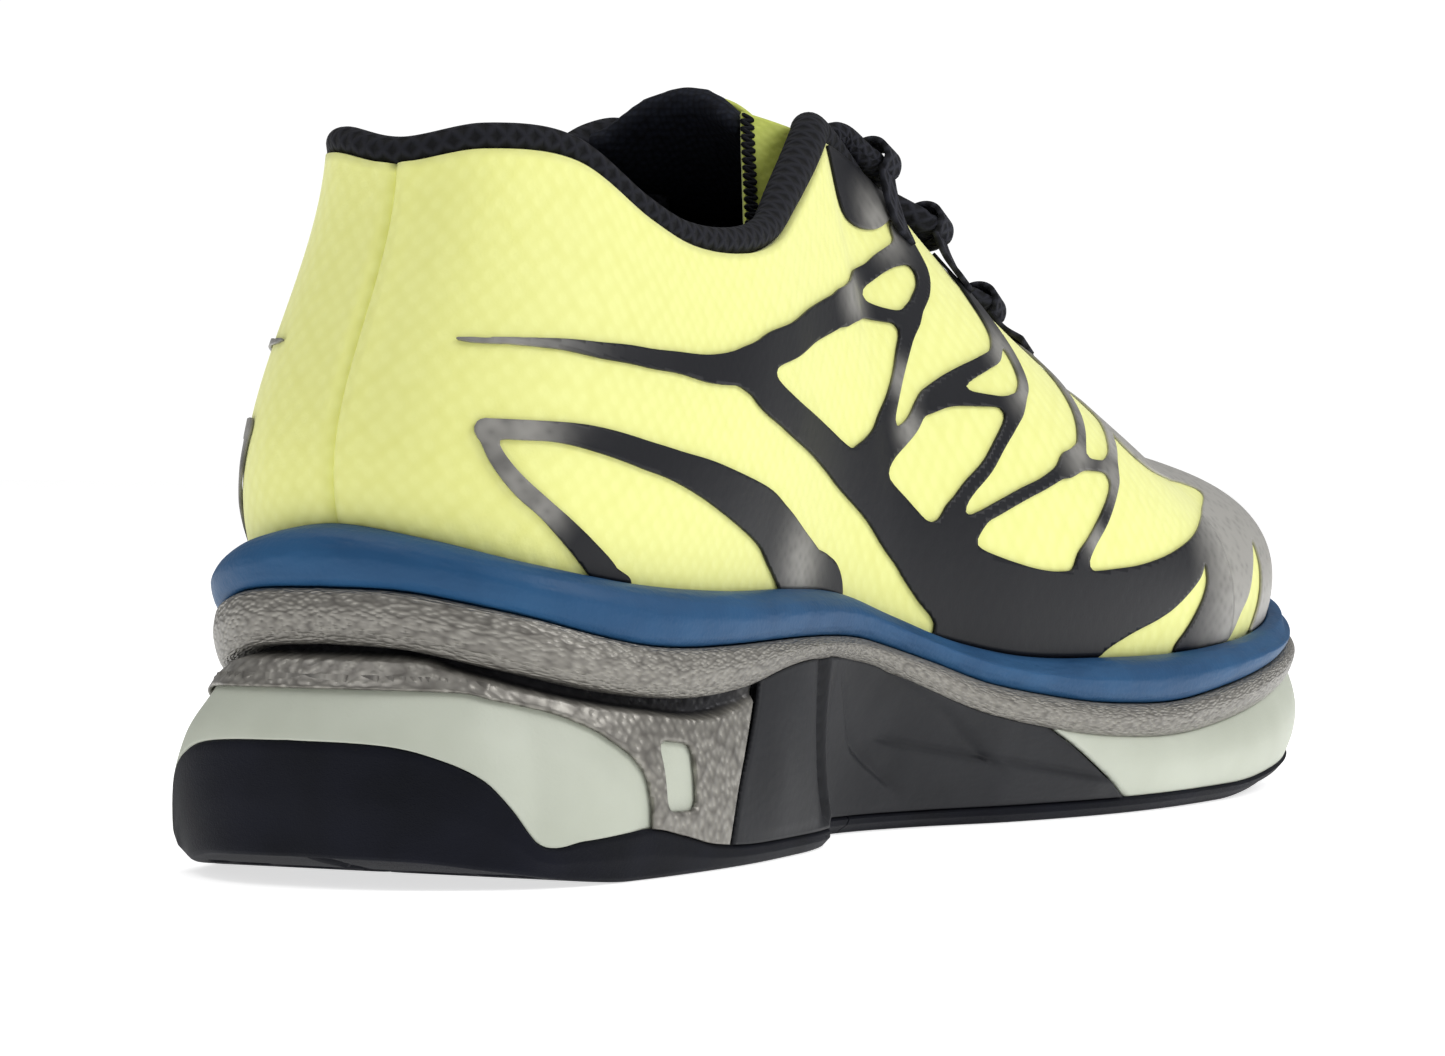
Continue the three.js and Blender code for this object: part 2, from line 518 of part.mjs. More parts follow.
// ---- Welded film ---------------------------------------------------------------------------------
// Each stroke runs through [s, t, half width in mm] on a side of the upper.
const WEB = [
  [[0.035, 0.6, 0.7], [0.1, 0.59, 1], [0.19, 0.675, 1.4], [0.267, 0.7, 2]], // tail to the heel
  [[0.25, 0.705, 2], [0.3, 0.75, 1.8], [0.35, 0.742, 2], [0.407, 0.7, 2.2], [0.477, 0.692, 2.2],
    [0.51, 0.74, 2.1], [0.528, 0.775, 2]], // upper arm to the top loops
  [[0.25, 0.71, 1.6], [0.3, 0.617, 2.6], [0.343, 0.508, 3], [0.393, 0.392, 3.1], [0.43, 0.317, 3.2],
    [0.46, 0.242, 3.4], [0.483, 0.167, 3.6], [0.507, 0.115, 4.4], [0.53, 0.105, 5]], // main arm
  [[0.445, 0.29, 1.6], [0.473, 0.392, 1.3], [0.49, 0.467, 1.1], [0.507, 0.575, 1.1],
    [0.52, 0.642, 1.1], [0.533, 0.7, 1.2], [0.548, 0.765, 1.4]], // post to the first throat bar
  [[0.46, 0.67, 0.9], [0.497, 0.658, 0.9], [0.525, 0.658, 0.9]], // bridge
  [[0.46, 0.29, 1.6], [0.49, 0.383, 1.2], [0.517, 0.458, 1.1], [0.537, 0.517, 1.1],
    [0.57, 0.6, 1.1], [0.605, 0.69, 1.3]], // post to the second loop
  [[0.52, 0.475, 0.8], [0.56, 0.508, 0.8], [0.6, 0.533, 0.8]], // bridge
  [[0.612, 0.6, 1.2], [0.6, 0.533, 1.1], [0.573, 0.417, 1.1], [0.55, 0.317, 1.2],
    [0.525, 0.2, 1.6], [0.52, 0.12, 2]], // post down from the third loop
  [[0.525, 0.2, 1.8], [0.573, 0.317, 1.3], [0.6, 0.367, 1.2], [0.623, 0.417, 1.2],
    [0.66, 0.525, 1.3]], // post to the fourth loop
  [[0.633, 0.445, 0.8], [0.66, 0.465, 0.8], [0.69, 0.505, 0.8]], // bridge
  [[0.69, 0.53, 1.2], [0.673, 0.4, 1.1], [0.66, 0.325, 1.1], [0.643, 0.258, 1.2],
    [0.625, 0.16, 1.8]], // last post
  [[0.505, 0.115, 5.6], [0.54, 0.11, 6], [0.58, 0.105, 6.4], [0.62, 0.11, 7], [0.66, 0.13, 7.6],
    [0.7, 0.185, 7.4], [0.74, 0.25, 6.4], [0.785, 0.31, 5.5]], // wave along the forefoot
];
const FIN = [
  [[0.05, 0.35, 0.8], [0.09, 0.365, 1.2], [0.143, 0.367, 1.8], [0.193, 0.383, 2.6],
    [0.26, 0.308, 3.6], [0.32, 0.183, 4.6], [0.365, 0.07, 5.4]],
  [[0.05, 0.352, 0.8], [0.07, 0.27, 1.3], [0.1, 0.16, 1.6], [0.135, 0.06, 1.9]],
];
const STROKE_STEPS = 7;
// Moves a place on the upper by a distance across a stroke's direction.
function sideStep(u, t, du, dt, distance) {
  const step = 1e-3;
  const alongU = skin(u + step, t).sub(skin(u - step, t)).divideScalar(2 * step);
  const alongT = skin(u, t + step).sub(skin(u, t - step)).divideScalar(2 * step);
  const [a, b, c] = [alongU.dot(alongU), alongU.dot(alongT), alongT.dot(alongT)];
  const [pu, pt] = [-(b * du + c * dt), a * du + b * dt];
  const size = Math.sqrt(a * pu * pu + 2 * b * pu * pt + c * pt * pt);
  return [u + (pu * distance) / size, t + (pt * distance) / size];
}
function stroke(keys, side) {
  const path = smooth(keys.map((k, i) => [i / (keys.length - 1), ...k]));
  const columns = Array.from({ length: STROKE_STEPS + 1 }, (_, i) => i / STROKE_STEPS);
  const place = (w, across) => {
    const [s, t, half] = path(w);
    const [s0, t0] = path(w - 0.02);
    const [s1, t1] = path(w + 0.02);
    const [u, v] = sideStep(side * s, t, side * (s1 - s0), t1 - t0, across * half);
    return [side * Math.min(Math.abs(u), 0.999), Math.min(Math.max(v, 0.03), 0.97)];
  };
  const face = (out) => (w, across) => skin(...place(w, across), out);
  return sheet(columns, [-1, 1], face(2 * GAP + FILM), face(-SHELL));
}
// The strokes of one film, cut back to lie on the knit.
const film = (strokes, side, knit) =>
  largest(join(strokes.map((keys) => stroke(keys, side))).subtract(knit));
function weldedFilm() {
  for (const [side, name] of [[-1, "medial"], [1, "lateral"]]) {
    const knit = shell(side < 0 ? [-1, -uGap] : [uGap, 1], [0, 1], GAP, -2 * SHELL);
    add(`web_${name}`, "film", film(WEB, side, knit));
    add(`fin_${name}`, "film", film(FIN, side, knit));
    const patch = [0.5, 0.555].map((s) => side * nearestStation(s)).sort((a, b) => a - b);
    add(`eyestay_${name}`, "film", shell(patch, [5 / ROWS, 0.985], GAP + FILM, GAP));
  }
}

// ---- Tongue --------------------------------------------------------------------------------------
// Across the throat the tongue tucks under both edges of the upper and bridges them with a low arch.
const TONGUE_DEPTH = SHELL + GAP;
const TUCK = 2 / ROWS; // share of a rib that lies over the tongue's edge
const ARCH = 2.5; // rise of the tongue between the edges
const BRIDGE = 0.6; // share of the tongue's width between the edges
function tonguePoint(s, w, depth) {
  const side = w < 0 ? -1 : 1;
  const away = Math.abs(w);
  if (away > BRIDGE) return skin(side * s, 1 - (TUCK * (away - BRIDGE)) / (1 - BRIDGE), -depth);
  const [a, b] = [skin(-s, 1, -depth), skin(s, 1, -depth)];
  const middle = a.clone().add(b).multiplyScalar(0.5).addScaledVector(UP, 2 * ARCH);
  return new THREE.QuadraticBezierCurve3(a, middle, b).getPoint(0.5 + w / (2 * BRIDGE));
}
const TONGUE_BEND = nearestStation(0.55); // where the free top of the tongue starts
const TONGUE_TOE_END = nearestStation(0.8);
const WEDGE = 1.6; // room at the back of the bend
const RISE = [[-0.6, 0.3], [-13, 5.5], [-23, 17.5]]; // centre line of the free top, x and z from the bend
function tongueRise(w, v, depth) {
  const half = (w * TONGUE_HALF_WIDTH) / topEdge(TONGUE_BEND).y;
  const foot = tonguePoint(TONGUE_BEND, half * BRIDGE, TONGUE_DEPTH);
  const [a, b, c] = RISE.map(([x, z]) => new THREE.Vector3(x, 0, z));
  const line = new THREE.QuadraticBezierCurve3(a, b, c);
  const reach = v * (1 - 0.3 * w * w);
  const along = line.getTangent(reach);
  const inward = new THREE.Vector3(-along.z, 0, along.x);
  const room = depth > 0 ? -WEDGE * (1 - v) : 0;
  return foot.add(line.getPoint(reach)).addScaledVector(inward, depth).add(new THREE.Vector3(room, 0, 0));
}
const fractions = (n, from = 0, to = 1) =>
  Array.from({ length: n + 1 }, (_, i) => from + ((to - from) * i) / n);
function tongue() {
  const sections = between(allStations, TONGUE_BEND, TONGUE_TOE_END).reverse();
  const across = [-1, -0.8, -BRIDGE, -0.3, 0, 0.3, BRIDGE, 0.8, 1];
  const outer = (s, w) => tonguePoint(s, w, TONGUE_DEPTH);
  const inner = (s, w) => tonguePoint(s, w, TONGUE_DEPTH + TONGUE);
  add("tongue_base", "textile", sheet(sections, across, outer, inner));
  const width = fractions(8, -1, 1);
  const length = fractions(6);
  add("tongue_top", "textile", sheet(width, length, (w, v) => tongueRise(w, v, 0), (w, v) => tongueRise(w, v, TONGUE)));
  const [low, high] = [-GAP, -GAP - TONGUE_FACE];
  const face = fractions(6, 0.12, 1);
  add("tongue_face", "knit", sheet(width, face, (w, v) => tongueRise(w, v, high), (w, v) => tongueRise(w, v, low)));
}

// ---- Lacing --------------------------------------------------------------------------------------
const LOOP_PLACES = [0.54, 0.6, 0.67, 0.74]; // from the ankle down
const LOOP_BORE = LACE_R + 0.6;
const LOOP_STAND = LOOP_BORE + LOOP_WALL + GAP; // loop centre over the edge of the upper
const loopCentre = (u) => topEdge(u).addScaledVector(UP, LOOP_STAND + GAP).addScaledVector(outward(u), -1);
const toToe = (u) => topEdge(Math.sign(u) * (Math.abs(u) + 0.01)).sub(topEdge(Math.sign(u) * (Math.abs(u) - 0.01))).normalize();
function laceLoop(u) {
  const outline = new THREE.Shape();
  outline.absarc(0, 0, LOOP_BORE + LOOP_WALL, 0, 2 * Math.PI, false);
  const bore = new THREE.Path();
  bore.absarc(0, 0, LOOP_BORE, 0, 2 * Math.PI, true);
  outline.holes.push(bore);
  const geometry = new THREE.ExtrudeGeometry(outline, { depth: LOOP_WIDTH, bevelEnabled: false, curveSegments: 8 });
  geometry.translate(0, 0, -LOOP_WIDTH / 2);
  geometry.applyQuaternion(new THREE.Quaternion().setFromUnitVectors(UP, toToe(u)));
  geometry.translate(...loopCentre(u).toArray());
  return solid(geometry);
}
// A lace run enters a loop on one side and leaves on the other, along the edge of the throat.
function throughLoop(u, towardsToe) {
  const d = toToe(u).multiplyScalar(towardsToe ? 1 : -1);
  const half = LOOP_WIDTH / 2 + 0.8;
  return [loopCentre(u).addScaledVector(d, -half), loopCentre(u), loopCentre(u).addScaledVector(d, half)];
}
// Middle of a run over the tongue: the second run over a crossing rides on the first.
function crossing(s, over) {
  const rise = LACE_R + 2 * GAP + (over ? 2 * LACE_R + 2 * GAP : 0);
  return tonguePoint(s, 0, TONGUE_DEPTH).addScaledVector(UP, rise * 1.15);
}
// The free ends turn down beside the tongue into the shoe.
function tuckedEnd(side) {
  const x = 129.5;
  const z = 80;
  return [[x, 14.6, z], [x, 14.6, z + 12], [x + 0.5, 14.7, z + 22], [x + 2.5, 15.2, z + 30.5], [x + 6.5, 16.6, z + 33.5]]
    .map(([px, py, pz]) => new THREE.Vector3(px * stretchX, side * py * stretchY, 41 + (pz - 41) * stretchZ));
}
function lacing() {
  LOOP_PLACES.forEach((s, i) => {
    add(`lace_loop_medial_${i + 1}`, "textile", laceLoop(-s));
    add(`lace_loop_lateral_${i + 1}`, "textile", laceLoop(s));
  });
  const down = [];
  const up = [];
  const last = LOOP_PLACES.length - 1;
  LOOP_PLACES.forEach((s, i) => {
    const side = i % 2 ? 1 : -1; // first run starts on the inner side, second on the outer
    down.push(...throughLoop(side * s, true));
    up.push(...throughLoop(-side * s, true));
    if (i === last) return;
    const half = (s + LOOP_PLACES[i + 1]) / 2;
    down.push(crossing(half, false));
    up.push(crossing(half, true));
  });
  const bottom = tonguePoint(LOOP_PLACES[last] + 0.014, 0, TONGUE_DEPTH).addScaledVector(UP, LACE_R + 3 * GAP);
  const [tuckA, tuckB] = [tuckedEnd(-1), tuckedEnd(1)];
  const path = [...tuckA, ...down, bottom, ...up.reverse(), ...tuckB.slice().reverse()];
  const lace = bar(path, LACE_R, 80, 8);
  add("shoelace", "textile", lace);
  for (const [name, end] of [["medial", tuckA], ["lateral", tuckB]]) {
    const tip = end[0].clone().addScaledVector(UP, -GAP);
    add(`aglet_${name}`, "tip", bar([tip, tip.clone().addScaledVector(UP, -AGLET_LENGTH)], AGLET_R, 1));
  }
}

soleUnit();
rubber();
footBed();
upper();
collarBinding();
weldedFilm();
tongue();
lacing();

// The origin is the centre of the bounding box, on the floor.
const box = new THREE.Box3().setFromObject(shoe);
const centre = box.getCenter(new THREE.Vector3());
for (const piece of shoe.children) piece.geometry.translate(-centre.x, -centre.y, -box.min.z);

export default shoe;
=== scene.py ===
# %% [markdown]
# # A running shoe for the left foot
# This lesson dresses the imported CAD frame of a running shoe. The frame says where every piece sits
# and what moves; the cells below bend fine meshes onto the same curves and give each one its finish.
# Lengths in the helpers are millimetres on the shoemaker's last. +X is the toe, +Y the outer side.

# %% Frame
import math
import bmesh
import bpy
import numpy as np
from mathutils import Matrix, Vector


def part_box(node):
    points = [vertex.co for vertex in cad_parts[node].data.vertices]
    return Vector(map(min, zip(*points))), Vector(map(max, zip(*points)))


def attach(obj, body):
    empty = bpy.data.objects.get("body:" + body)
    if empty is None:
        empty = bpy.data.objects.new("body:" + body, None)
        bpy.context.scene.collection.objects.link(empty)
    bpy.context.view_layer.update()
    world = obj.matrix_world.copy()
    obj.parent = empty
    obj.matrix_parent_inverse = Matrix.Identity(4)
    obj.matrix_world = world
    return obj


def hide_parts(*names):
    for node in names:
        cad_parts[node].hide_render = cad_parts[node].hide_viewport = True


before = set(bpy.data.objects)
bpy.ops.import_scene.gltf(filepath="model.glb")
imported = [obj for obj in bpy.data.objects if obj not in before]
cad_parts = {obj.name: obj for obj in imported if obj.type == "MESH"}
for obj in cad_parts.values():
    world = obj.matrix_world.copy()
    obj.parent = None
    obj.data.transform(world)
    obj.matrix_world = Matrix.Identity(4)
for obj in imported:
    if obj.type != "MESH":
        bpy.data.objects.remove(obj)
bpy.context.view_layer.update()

# %% [markdown]
# ## Curves of the last
# A shoe is built on a last, and its shape is set by a few lines: the feather line, where upper
# meets sole, and the top edge. A table of places with smooth slopes between them is enough, and the
# same tables drive the CAD, so every mesh made here lands where the CAD solid is.

# %% Smooth tables
def curve(keys):
    """Smooth lookup through keys [position, value, value...]; takes and gives arrays."""
    table = np.array(keys, float)
    place, values = table[:, 0], table[:, 1:]
    index = np.arange(len(table))
    before, after = np.maximum(index - 1, 0), np.minimum(index + 1, len(table) - 1)
    slope = (values[after] - values[before]) / (place[after] - place[before])[:, None]

    def at(s):
        s = np.clip(np.asarray(s, float), place[0], place[-1])
        i = np.clip(np.searchsorted(place, s, side="right") - 1, 0, len(table) - 2)
        h = (place[i + 1] - place[i])[..., None]
        w = (s - place[i])[..., None] / h
        start = (2 * w**3 - 3 * w**2 + 1) * values[i] + (w**3 - 2 * w**2 + w) * h * slope[i]
        return start + (3 * w**2 - 2 * w**3) * values[i + 1] + (w**3 - w**2) * h * slope[i + 1]
    return at


def value(keys):
    """The same for a single value."""
    table = curve(keys)
    return lambda s: table(s)[..., 0]


# %% Tables of the last
feather_keys = curve([
    [-.05, 12, 14, 50], [0, 10, 0, 52], [.05, 12, -14, 50], [.1, 21, -26, 46.3], [.16, 38, -32.5, 43],
    [.24, 60, -35, 41.3], [.33, 85, -33.5, 40.8], [.4, 105, -31, 39.5], [.46, 121, -32, 35.5],
    [.52, 138, -35, 30.8], [.58, 157, -39.5, 27.5], [.66, 182, -44, 26.5], [.74, 207, -46, 26.5],
    [.82, 235, -45, 28], [.89, 259, -39.5, 30.5], [.94, 276, -30.5, 33.5], [.98, 289, -16, 36.5],
    [1, 293, -4, 37.5]])
top_keys = curve([
    [-.05, 30, 13, 107], [0, 26, 0, 105], [.05, 30, -13, 107], [.11, 42, -22, 105.5], [.17, 54, -28, 97],
    [.22, 63, -30.5, 93.2], [.28, 76, -32, 92.4], [.33, 89, -31, 94.6], [.37, 100, -28.5, 99.7],
    [.41, 110, -26, 105.3], [.45, 118, -23.5, 110], [.475, 124, -20.5, 111.5],
    [.51, 134, -19.5, 109], [.55, 147, -20, 103], [.6, 162, -20.5, 94.5], [.65, 178, -20, 85],
    [.7, 193, -19, 76.5], [.75, 207, -16, 69.5], [.79, 218, -9, 66], [.82, 226, -4, 64],
    [.88, 238, -4, 61.5], [.94, 246, -4, 59.5], [1, 250, -4, 58.6]])
rib_keys = curve([
    [0, 7, .33, 1, .35, 10], [.1, 6, .33, 2, .35, 8], [.2, 3, .33, 3, .33, 6],
    [.35, 2, .33, 3, .33, 8], [.48, 3, .36, 7, .33, 25], [.55, 5, .42, 13, .25, 40],
    [.65, 6, .46, 19, .12, 52], [.75, 6, .5, 24, .05, 66], [.82, 6, .55, 27, 0, 90],
    [.9, 6, .6, 28, 0, 90], [.96, 6, .6, 27, 0, 90], [1, 5, .6, 26, 0, 90]])
mid_line = value([[0, 0], [.46, 0], [.6, -1], [.72, -3], [.82, -4], [1, -4]])
outer_share = value([
    [0, .98], [.04, .9], [.1, .83], [.16, .87], [.24, .95], [.33, 1.05], [.46, 1.18],
    [.58, 1.16], [.72, 1.16], [.82, 1.1],
    [.89, 1.04], [.94, .95], [.98, .9], [1, 1]])

# %% Tables of the sole
rim_foot = value([
    [0, 43.4], [.042, 42.9], [.083, 40.2], [.128, 36.3], [.16, 34.5], [.2, 33.8], [.313, 34],
    [.374, 33.6], [.419, 32.5], [.486, 28.5], [.546, 23.8], [.612, 20.5], [.658, 19.3],
    [.712, 19], [.772, 20.7], [.86, 24.5], [.94, 28.5], [1, 31]])
band_foot = value([
    [0, 35], [.042, 34.3], [.083, 31.4], [.128, 28.2], [.16, 26.8], [.2, 26.1], [.25, 27],
    [.3, 29.2], [.342, 30], [.406, 29], [.454, 26.4], [.514, 21], [.546, 18.4], [.594, 15.6],
    [.648, 13.6], [.712, 12.9], [.772, 14.4], [.86, 18.8], [.94, 23.6], [1, 26.5]])
rubber_top = value([
    [0, 21.5], [.04, 21], [.06, 19], [.075, 16], [.084, 12], [.094, 6.5], [.11, 6.8],
    [.15, 7.6], [.18, 6], [.21, 4.2], [.26, 3.4], [.78, 3.2], [.84, 4.4], [.9, 6.2],
    [.95, 8.7], [1, 11.2]])
ground_keys = value([
    [0, 4.3], [.05, 3.9], [.08, 2.5], [.11, .8], [.14, 0], [.78, 0], [.84, 1.2], [.9, 3],
    [.95, 5.5], [1, 8]])
cup_floor = value([
    [0, 31], [.1, 30.5], [.24, 29.5], [.4, 28], [.52, 24.5], [.62, 20.4], [.74, 18.9],
    [.82, 20], [.89, 22.7], [.94, 25.5], [1, 28.5]])
mid_out = value([
    [0, 10.5], [.1, 9], [.15, 7.5], [.2, 6], [.3, 4.5], [.36, 3], [.41, -1], [.46, -2.5],
    [.52, 0], [.58, 3], [.66, 5], [.74, 5.5], [.89, 5.5], [1, 5]])
rubber_top_out = value([
    [0, 13.5], [.05, 13], [.08, 12.3], [.1, 11.5], [.15, 8.3], [.2, 6.3], [.3, 5], [.36, 4],
    [.385, 2], [.41, -4], [.46, -6], [.52, -4], [.58, 0], [.66, 3.5], [.74, 4.5],
    [.89, 4.5], [1, 4]])
ground_out = value([
    [0, 10], [.05, 10.3], [.1, 9.4], [.15, 6.8], [.2, 5.2], [.3, 4], [.36, 3], [.385, 1], [.41, -6],
    [.46, -8],
    [.52, -6], [.58, -1], [.66, 2], [.74, 2.5], [.89, 1.5], [1, 0]])


def ground(s):
    return np.where((s > .14) & (s < .78), 0, np.maximum(0, ground_keys(s)))


# %% Points on the shoe
UP = np.array([0, 0, 1.0])
CUP_TAPER, GAP, SHELL, STATIONS = 5, .3, 2.4, 28


def feather(u):
    s = np.abs(u)
    x, y, z = np.moveaxis(feather_keys(s), -1, 0)
    return np.stack([x, np.where(u > 0, 2 * mid_line(s) - y * outer_share(s), y), z], -1)


def top_edge(u):
    s = np.abs(u)
    x, y, z = np.moveaxis(top_keys(s), -1, 0)
    return np.stack([x, np.where(u > 0, 2 * mid_line(s) - y, y), z], -1)


def unit(vectors):
    return vectors / np.linalg.norm(vectors, axis=-1, keepdims=True)


def outward(u):
    """Level direction out of the shoe at u."""
    step = 2e-3
    u = np.asarray(u, float)
    d = feather(np.clip(u + step, -1, 1)) - feather(np.clip(u - step, -1, 1))
    n = np.stack([-d[..., 1], d[..., 0], 0 * d[..., 0]], -1)
    return unit(np.where((np.abs(u) > 1 - step)[..., None], [1.0, 0, 0], n))


def skin(u, t, out=0.0):
    """A point of the upper at u round the shoe and t up its rib, out mm off the knit."""
    u, t, out = np.broadcast_arrays(*[np.asarray(v, float) for v in (u, t, out)])
    foot, top, n = feather(u), top_edge(u), outward(u)
    height = (top - foot)[..., 2:]
    bulge, rise, shoulder, drop, lean = (v[..., None] for v in np.moveaxis(rib_keys(np.abs(u)), -1, 0))
    crown = n * np.cos(np.radians(lean)) + UP * np.sin(np.radians(lean))
    a = foot + n * out[..., None]
    b = a + n * bulge + UP * rise * height
    d = top + crown * out[..., None]
    c = d + n * shoulder - UP * drop * height
    w, margin = np.clip(t, 0, None)[..., None], np.clip(t, None, 0)[..., None]
    p = (1 - w)**3 * a + 3 * (1 - w)**2 * w * b + 3 * (1 - w) * w**2 * c + w**3 * d
    depth = foot[..., 2] - cup_floor(np.abs(u)) - GAP
    return p + n * CUP_TAPER * margin + UP * margin * depth[..., None]


def wall(u, out, z):
    """A point of the sole, out mm outside the feather line at height z."""
    p = feather(u) + outward(u) * np.asarray(out)[..., None]
    p[..., 2] = z
    return p


def station(w):
    """Even shares to places along a side, closer together at heel and toe."""
    return w - .35 * np.sin(2 * np.pi * w) / (2 * np.pi)


# %% [markdown]
# The CAD puts its origin in the middle of the shoe, on the floor. The rim foam's own box tells how
# far the tables have to move to land there.

# %% From the tables to the frame
RIM_OUT = 6
rim_low, rim_high = [1000 * np.array(corner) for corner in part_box("midsole_rim")]
marks = np.array([station(i / STATIONS) for i in range(STATIONS + 1)])
rim_marks = wall(-marks, np.full(len(marks), RIM_OUT), 0)
CENTRE = np.array([rim_marks[-1, 0] - rim_high[0], rim_marks[:, 1].min() - rim_low[1], 0])
print("centre of the shoe on the last, mm", CENTRE.round(2))


def to_frame(points):
    return (points - CENTRE) / 1000


# %% [markdown]
# ## Camera and light
# The camera stands low behind the heel on the inner side, far back with a long lens, so the shoe
# keeps its true proportions. A white sweep and two large soft lamps give the plain studio light.

# %% Camera
AZIMUTH, DISTANCE, EYE = math.radians(62), 915, 70.5
TURN, PITCH, LENS = math.radians(.69), math.radians(1.375), 136
heading = AZIMUTH - TURN
eye = to_frame(np.array([150 - DISTANCE * math.sin(AZIMUTH), -DISTANCE * math.cos(AZIMUTH), EYE]))
camera = bpy.data.objects.new("camera", bpy.data.cameras.new("camera"))
camera.data.lens = LENS
camera.location = eye
camera.rotation_euler = (math.pi / 2 - PITCH, 0, -heading)
bpy.context.scene.collection.objects.link(camera)
bpy.context.scene.camera = camera
print("camera at", [round(v, 3) for v in eye])


# %% Studio
def colour(code):
    """sRGB hex to linear."""
    parts = [int(code[i:i + 2], 16) / 255 for i in (1, 3, 5)]
    return [c / 12.92 if c <= .04045 else ((c + .055) / 1.055)**2.4 for c in parts] + [1]


def add(tree, kind, inputs=(), **settings):
    """Add one shader node with its settings; an input is a value or a socket to link."""
    made = tree.nodes.new("ShaderNode" + kind)
    for name, setting in settings.items():
        setattr(made, name, setting)
    for name, given in dict(inputs).items():
        if isinstance(given, bpy.types.NodeSocket):
            tree.links.new(given, made.inputs[name])
        else:
            made.inputs[name].default_value = given
    return made


def lamp(name, at, size, power):
    light = bpy.data.lights.new(name, "AREA")
    light.shape, light.size, light.energy = "SQUARE", size, power
    holder = bpy.data.objects.new(name, light)
    holder.location = at
    aim = -np.array(at) + [0, 0, .05]
    holder.rotation_euler = (math.atan2(math.hypot(aim[0], aim[1]), -aim[2]), 0,
                             math.atan2(aim[1], aim[0]) - math.pi / 2)
    bpy.context.scene.collection.objects.link(holder)


lamp("key", (.35, -1.27, 1.15), .9, 13.7)
lamp("top", (-.3, .4, 1.6), 1.2, 8.6)
world = bpy.data.worlds.new("studio")
world.use_nodes = True
rays = add(world.node_tree, "LightPath")
# How bright the surroundings light the shoe, and how bright they look behind it.
AROUND, BEHIND = .33, 1.05
level = add(world.node_tree, "MapRange",
            {"Value": rays.outputs["Is Camera Ray"], "To Min": AROUND, "To Max": BEHIND})
world.node_tree.links.new(level.outputs["Result"], world.node_tree.nodes["Background"].inputs["Strength"])
world.node_tree.nodes["Background"].inputs["Color"].default_value = (1, 1, 1, 1)
bpy.context.scene.world = world
bpy.context.scene.view_settings.view_transform = "Standard"


# %% Floor
def material(name, **inputs):
    """A new material: its tree and its surface shader."""
    made = bpy.data.materials.new(name)
    made.use_nodes = True
    made.node_tree.nodes.clear()
    shader = add(made.node_tree, "BsdfPrincipled", inputs)
    add(made.node_tree, "OutputMaterial", {"Surface": shader.outputs["BSDF"]})
    return made, made.node_tree, shader


PAPER_GLOW = .68
paper, tree, shader = material("matt white paper", Roughness=.9)
shader.inputs["Base Color"].default_value = colour("#F4F4F4")
shader.inputs["Emission Color"].default_value = colour("#FFFFFF")
shader.inputs["Emission Strength"].default_value = PAPER_GLOW
mesh = bmesh.new()
bmesh.ops.create_grid(mesh, x_segments=2, y_segments=2, size=3)
floor = bpy.data.objects.new("floor", bpy.data.meshes.new("floor"))
mesh.to_mesh(floor.data)
floor.data.materials.append(paper)
bpy.context.scene.collection.objects.link(floor)

# %% [markdown]
# ## Bending a grid
# Nearly every piece of a shoe is a bent sheet. One helper makes a flat grid with an operator, cuts
# it along a line where an outline says so, and then bends it. The cut uses a trick: the distance to
# the outline becomes the grid's height, and one level plane slices exactly along the outline.

# %% Grid helper
def bent(columns, rows, place, keep=None, uv=None, closed=False):
    """A grid whose shares (a, b) are bent by place(a, b); keep(a, b) > 0 stays."""
    bm = bmesh.new()
    bmesh.ops.create_grid(bm, x_segments=columns, y_segments=rows, size=.5)
    bmesh.ops.translate(bm, vec=(.5, .5, 0), verts=bm.verts)
    if keep:
        shares = np.array([v.co[:2] for v in bm.verts])
        for v, height in zip(bm.verts, keep(*shares.T)):
            v.co.z = height
        bmesh.ops.bisect_plane(bm, geom=[*bm.verts, *bm.edges, *bm.faces], dist=1e-6,
                               plane_co=(0, 0, 0), plane_no=(0, 0, 1), clear_inner=True)
    shares = np.clip(np.array([v.co[:2] for v in bm.verts]), 0, 1)
    points = to_frame(place(*shares.T))
    spots = np.stack(uv(*shares.T), -1) / 1000 if uv else shares
    layer = bm.loops.layers.uv.new("UVMap")
    bm.verts.index_update()
    for face in bm.faces:
        for corner in face.loops:
            corner[layer].uv = spots[corner.vert.index]
    for v, p in zip(bm.verts, points):
        v.co = p
    bmesh.ops.remove_doubles(bm, verts=bm.verts, dist=2e-5)
    if closed:
        bmesh.ops.recalc_face_normals(bm, faces=bm.faces)
    return bm


def piece(name, bm, look, nodes=(), body="shoe", thick=0.0, inside_look=None):
    """The finished object of a mesh, riding on its body."""
    made = bpy.data.objects.new(name, bpy.data.meshes.new(name))
    bm.to_mesh(made.data)
    bm.free()
    made.data.materials.append(look)
    made.data.polygons.foreach_set("use_smooth", [True] * len(made.data.polygons))
    bpy.context.scene.collection.objects.link(made)
    if thick:
        solid = made.modifiers.new("thickness", "SOLIDIFY")
        solid.thickness, solid.offset = thick / 1000, -1
        if inside_look:
            made.data.materials.append(inside_look)
            solid.material_offset = 1
    made.data.set_sharp_from_angle(angle=math.radians(50))
    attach(made, body)
    if nodes:
        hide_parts(*nodes)
    heights = [v.co.z * 1000 for v in made.data.vertices]
    print(name, len(made.data.polygons), "faces, from z", round(min(heights), 1), "to",
          round(max(heights), 1), "mm")
    return made


# %% [markdown]
# Distances to lines do the cutting and the rounding of edges. `smaller` is a minimum with a soft
# corner: where two outlines meet, it leaves a fillet instead of a sharp notch.

# %% Distances
def soft(x, low, high):
    w = np.clip((x - low) / (high - low), 0, 1)
    return w * w * (3 - 2 * w)


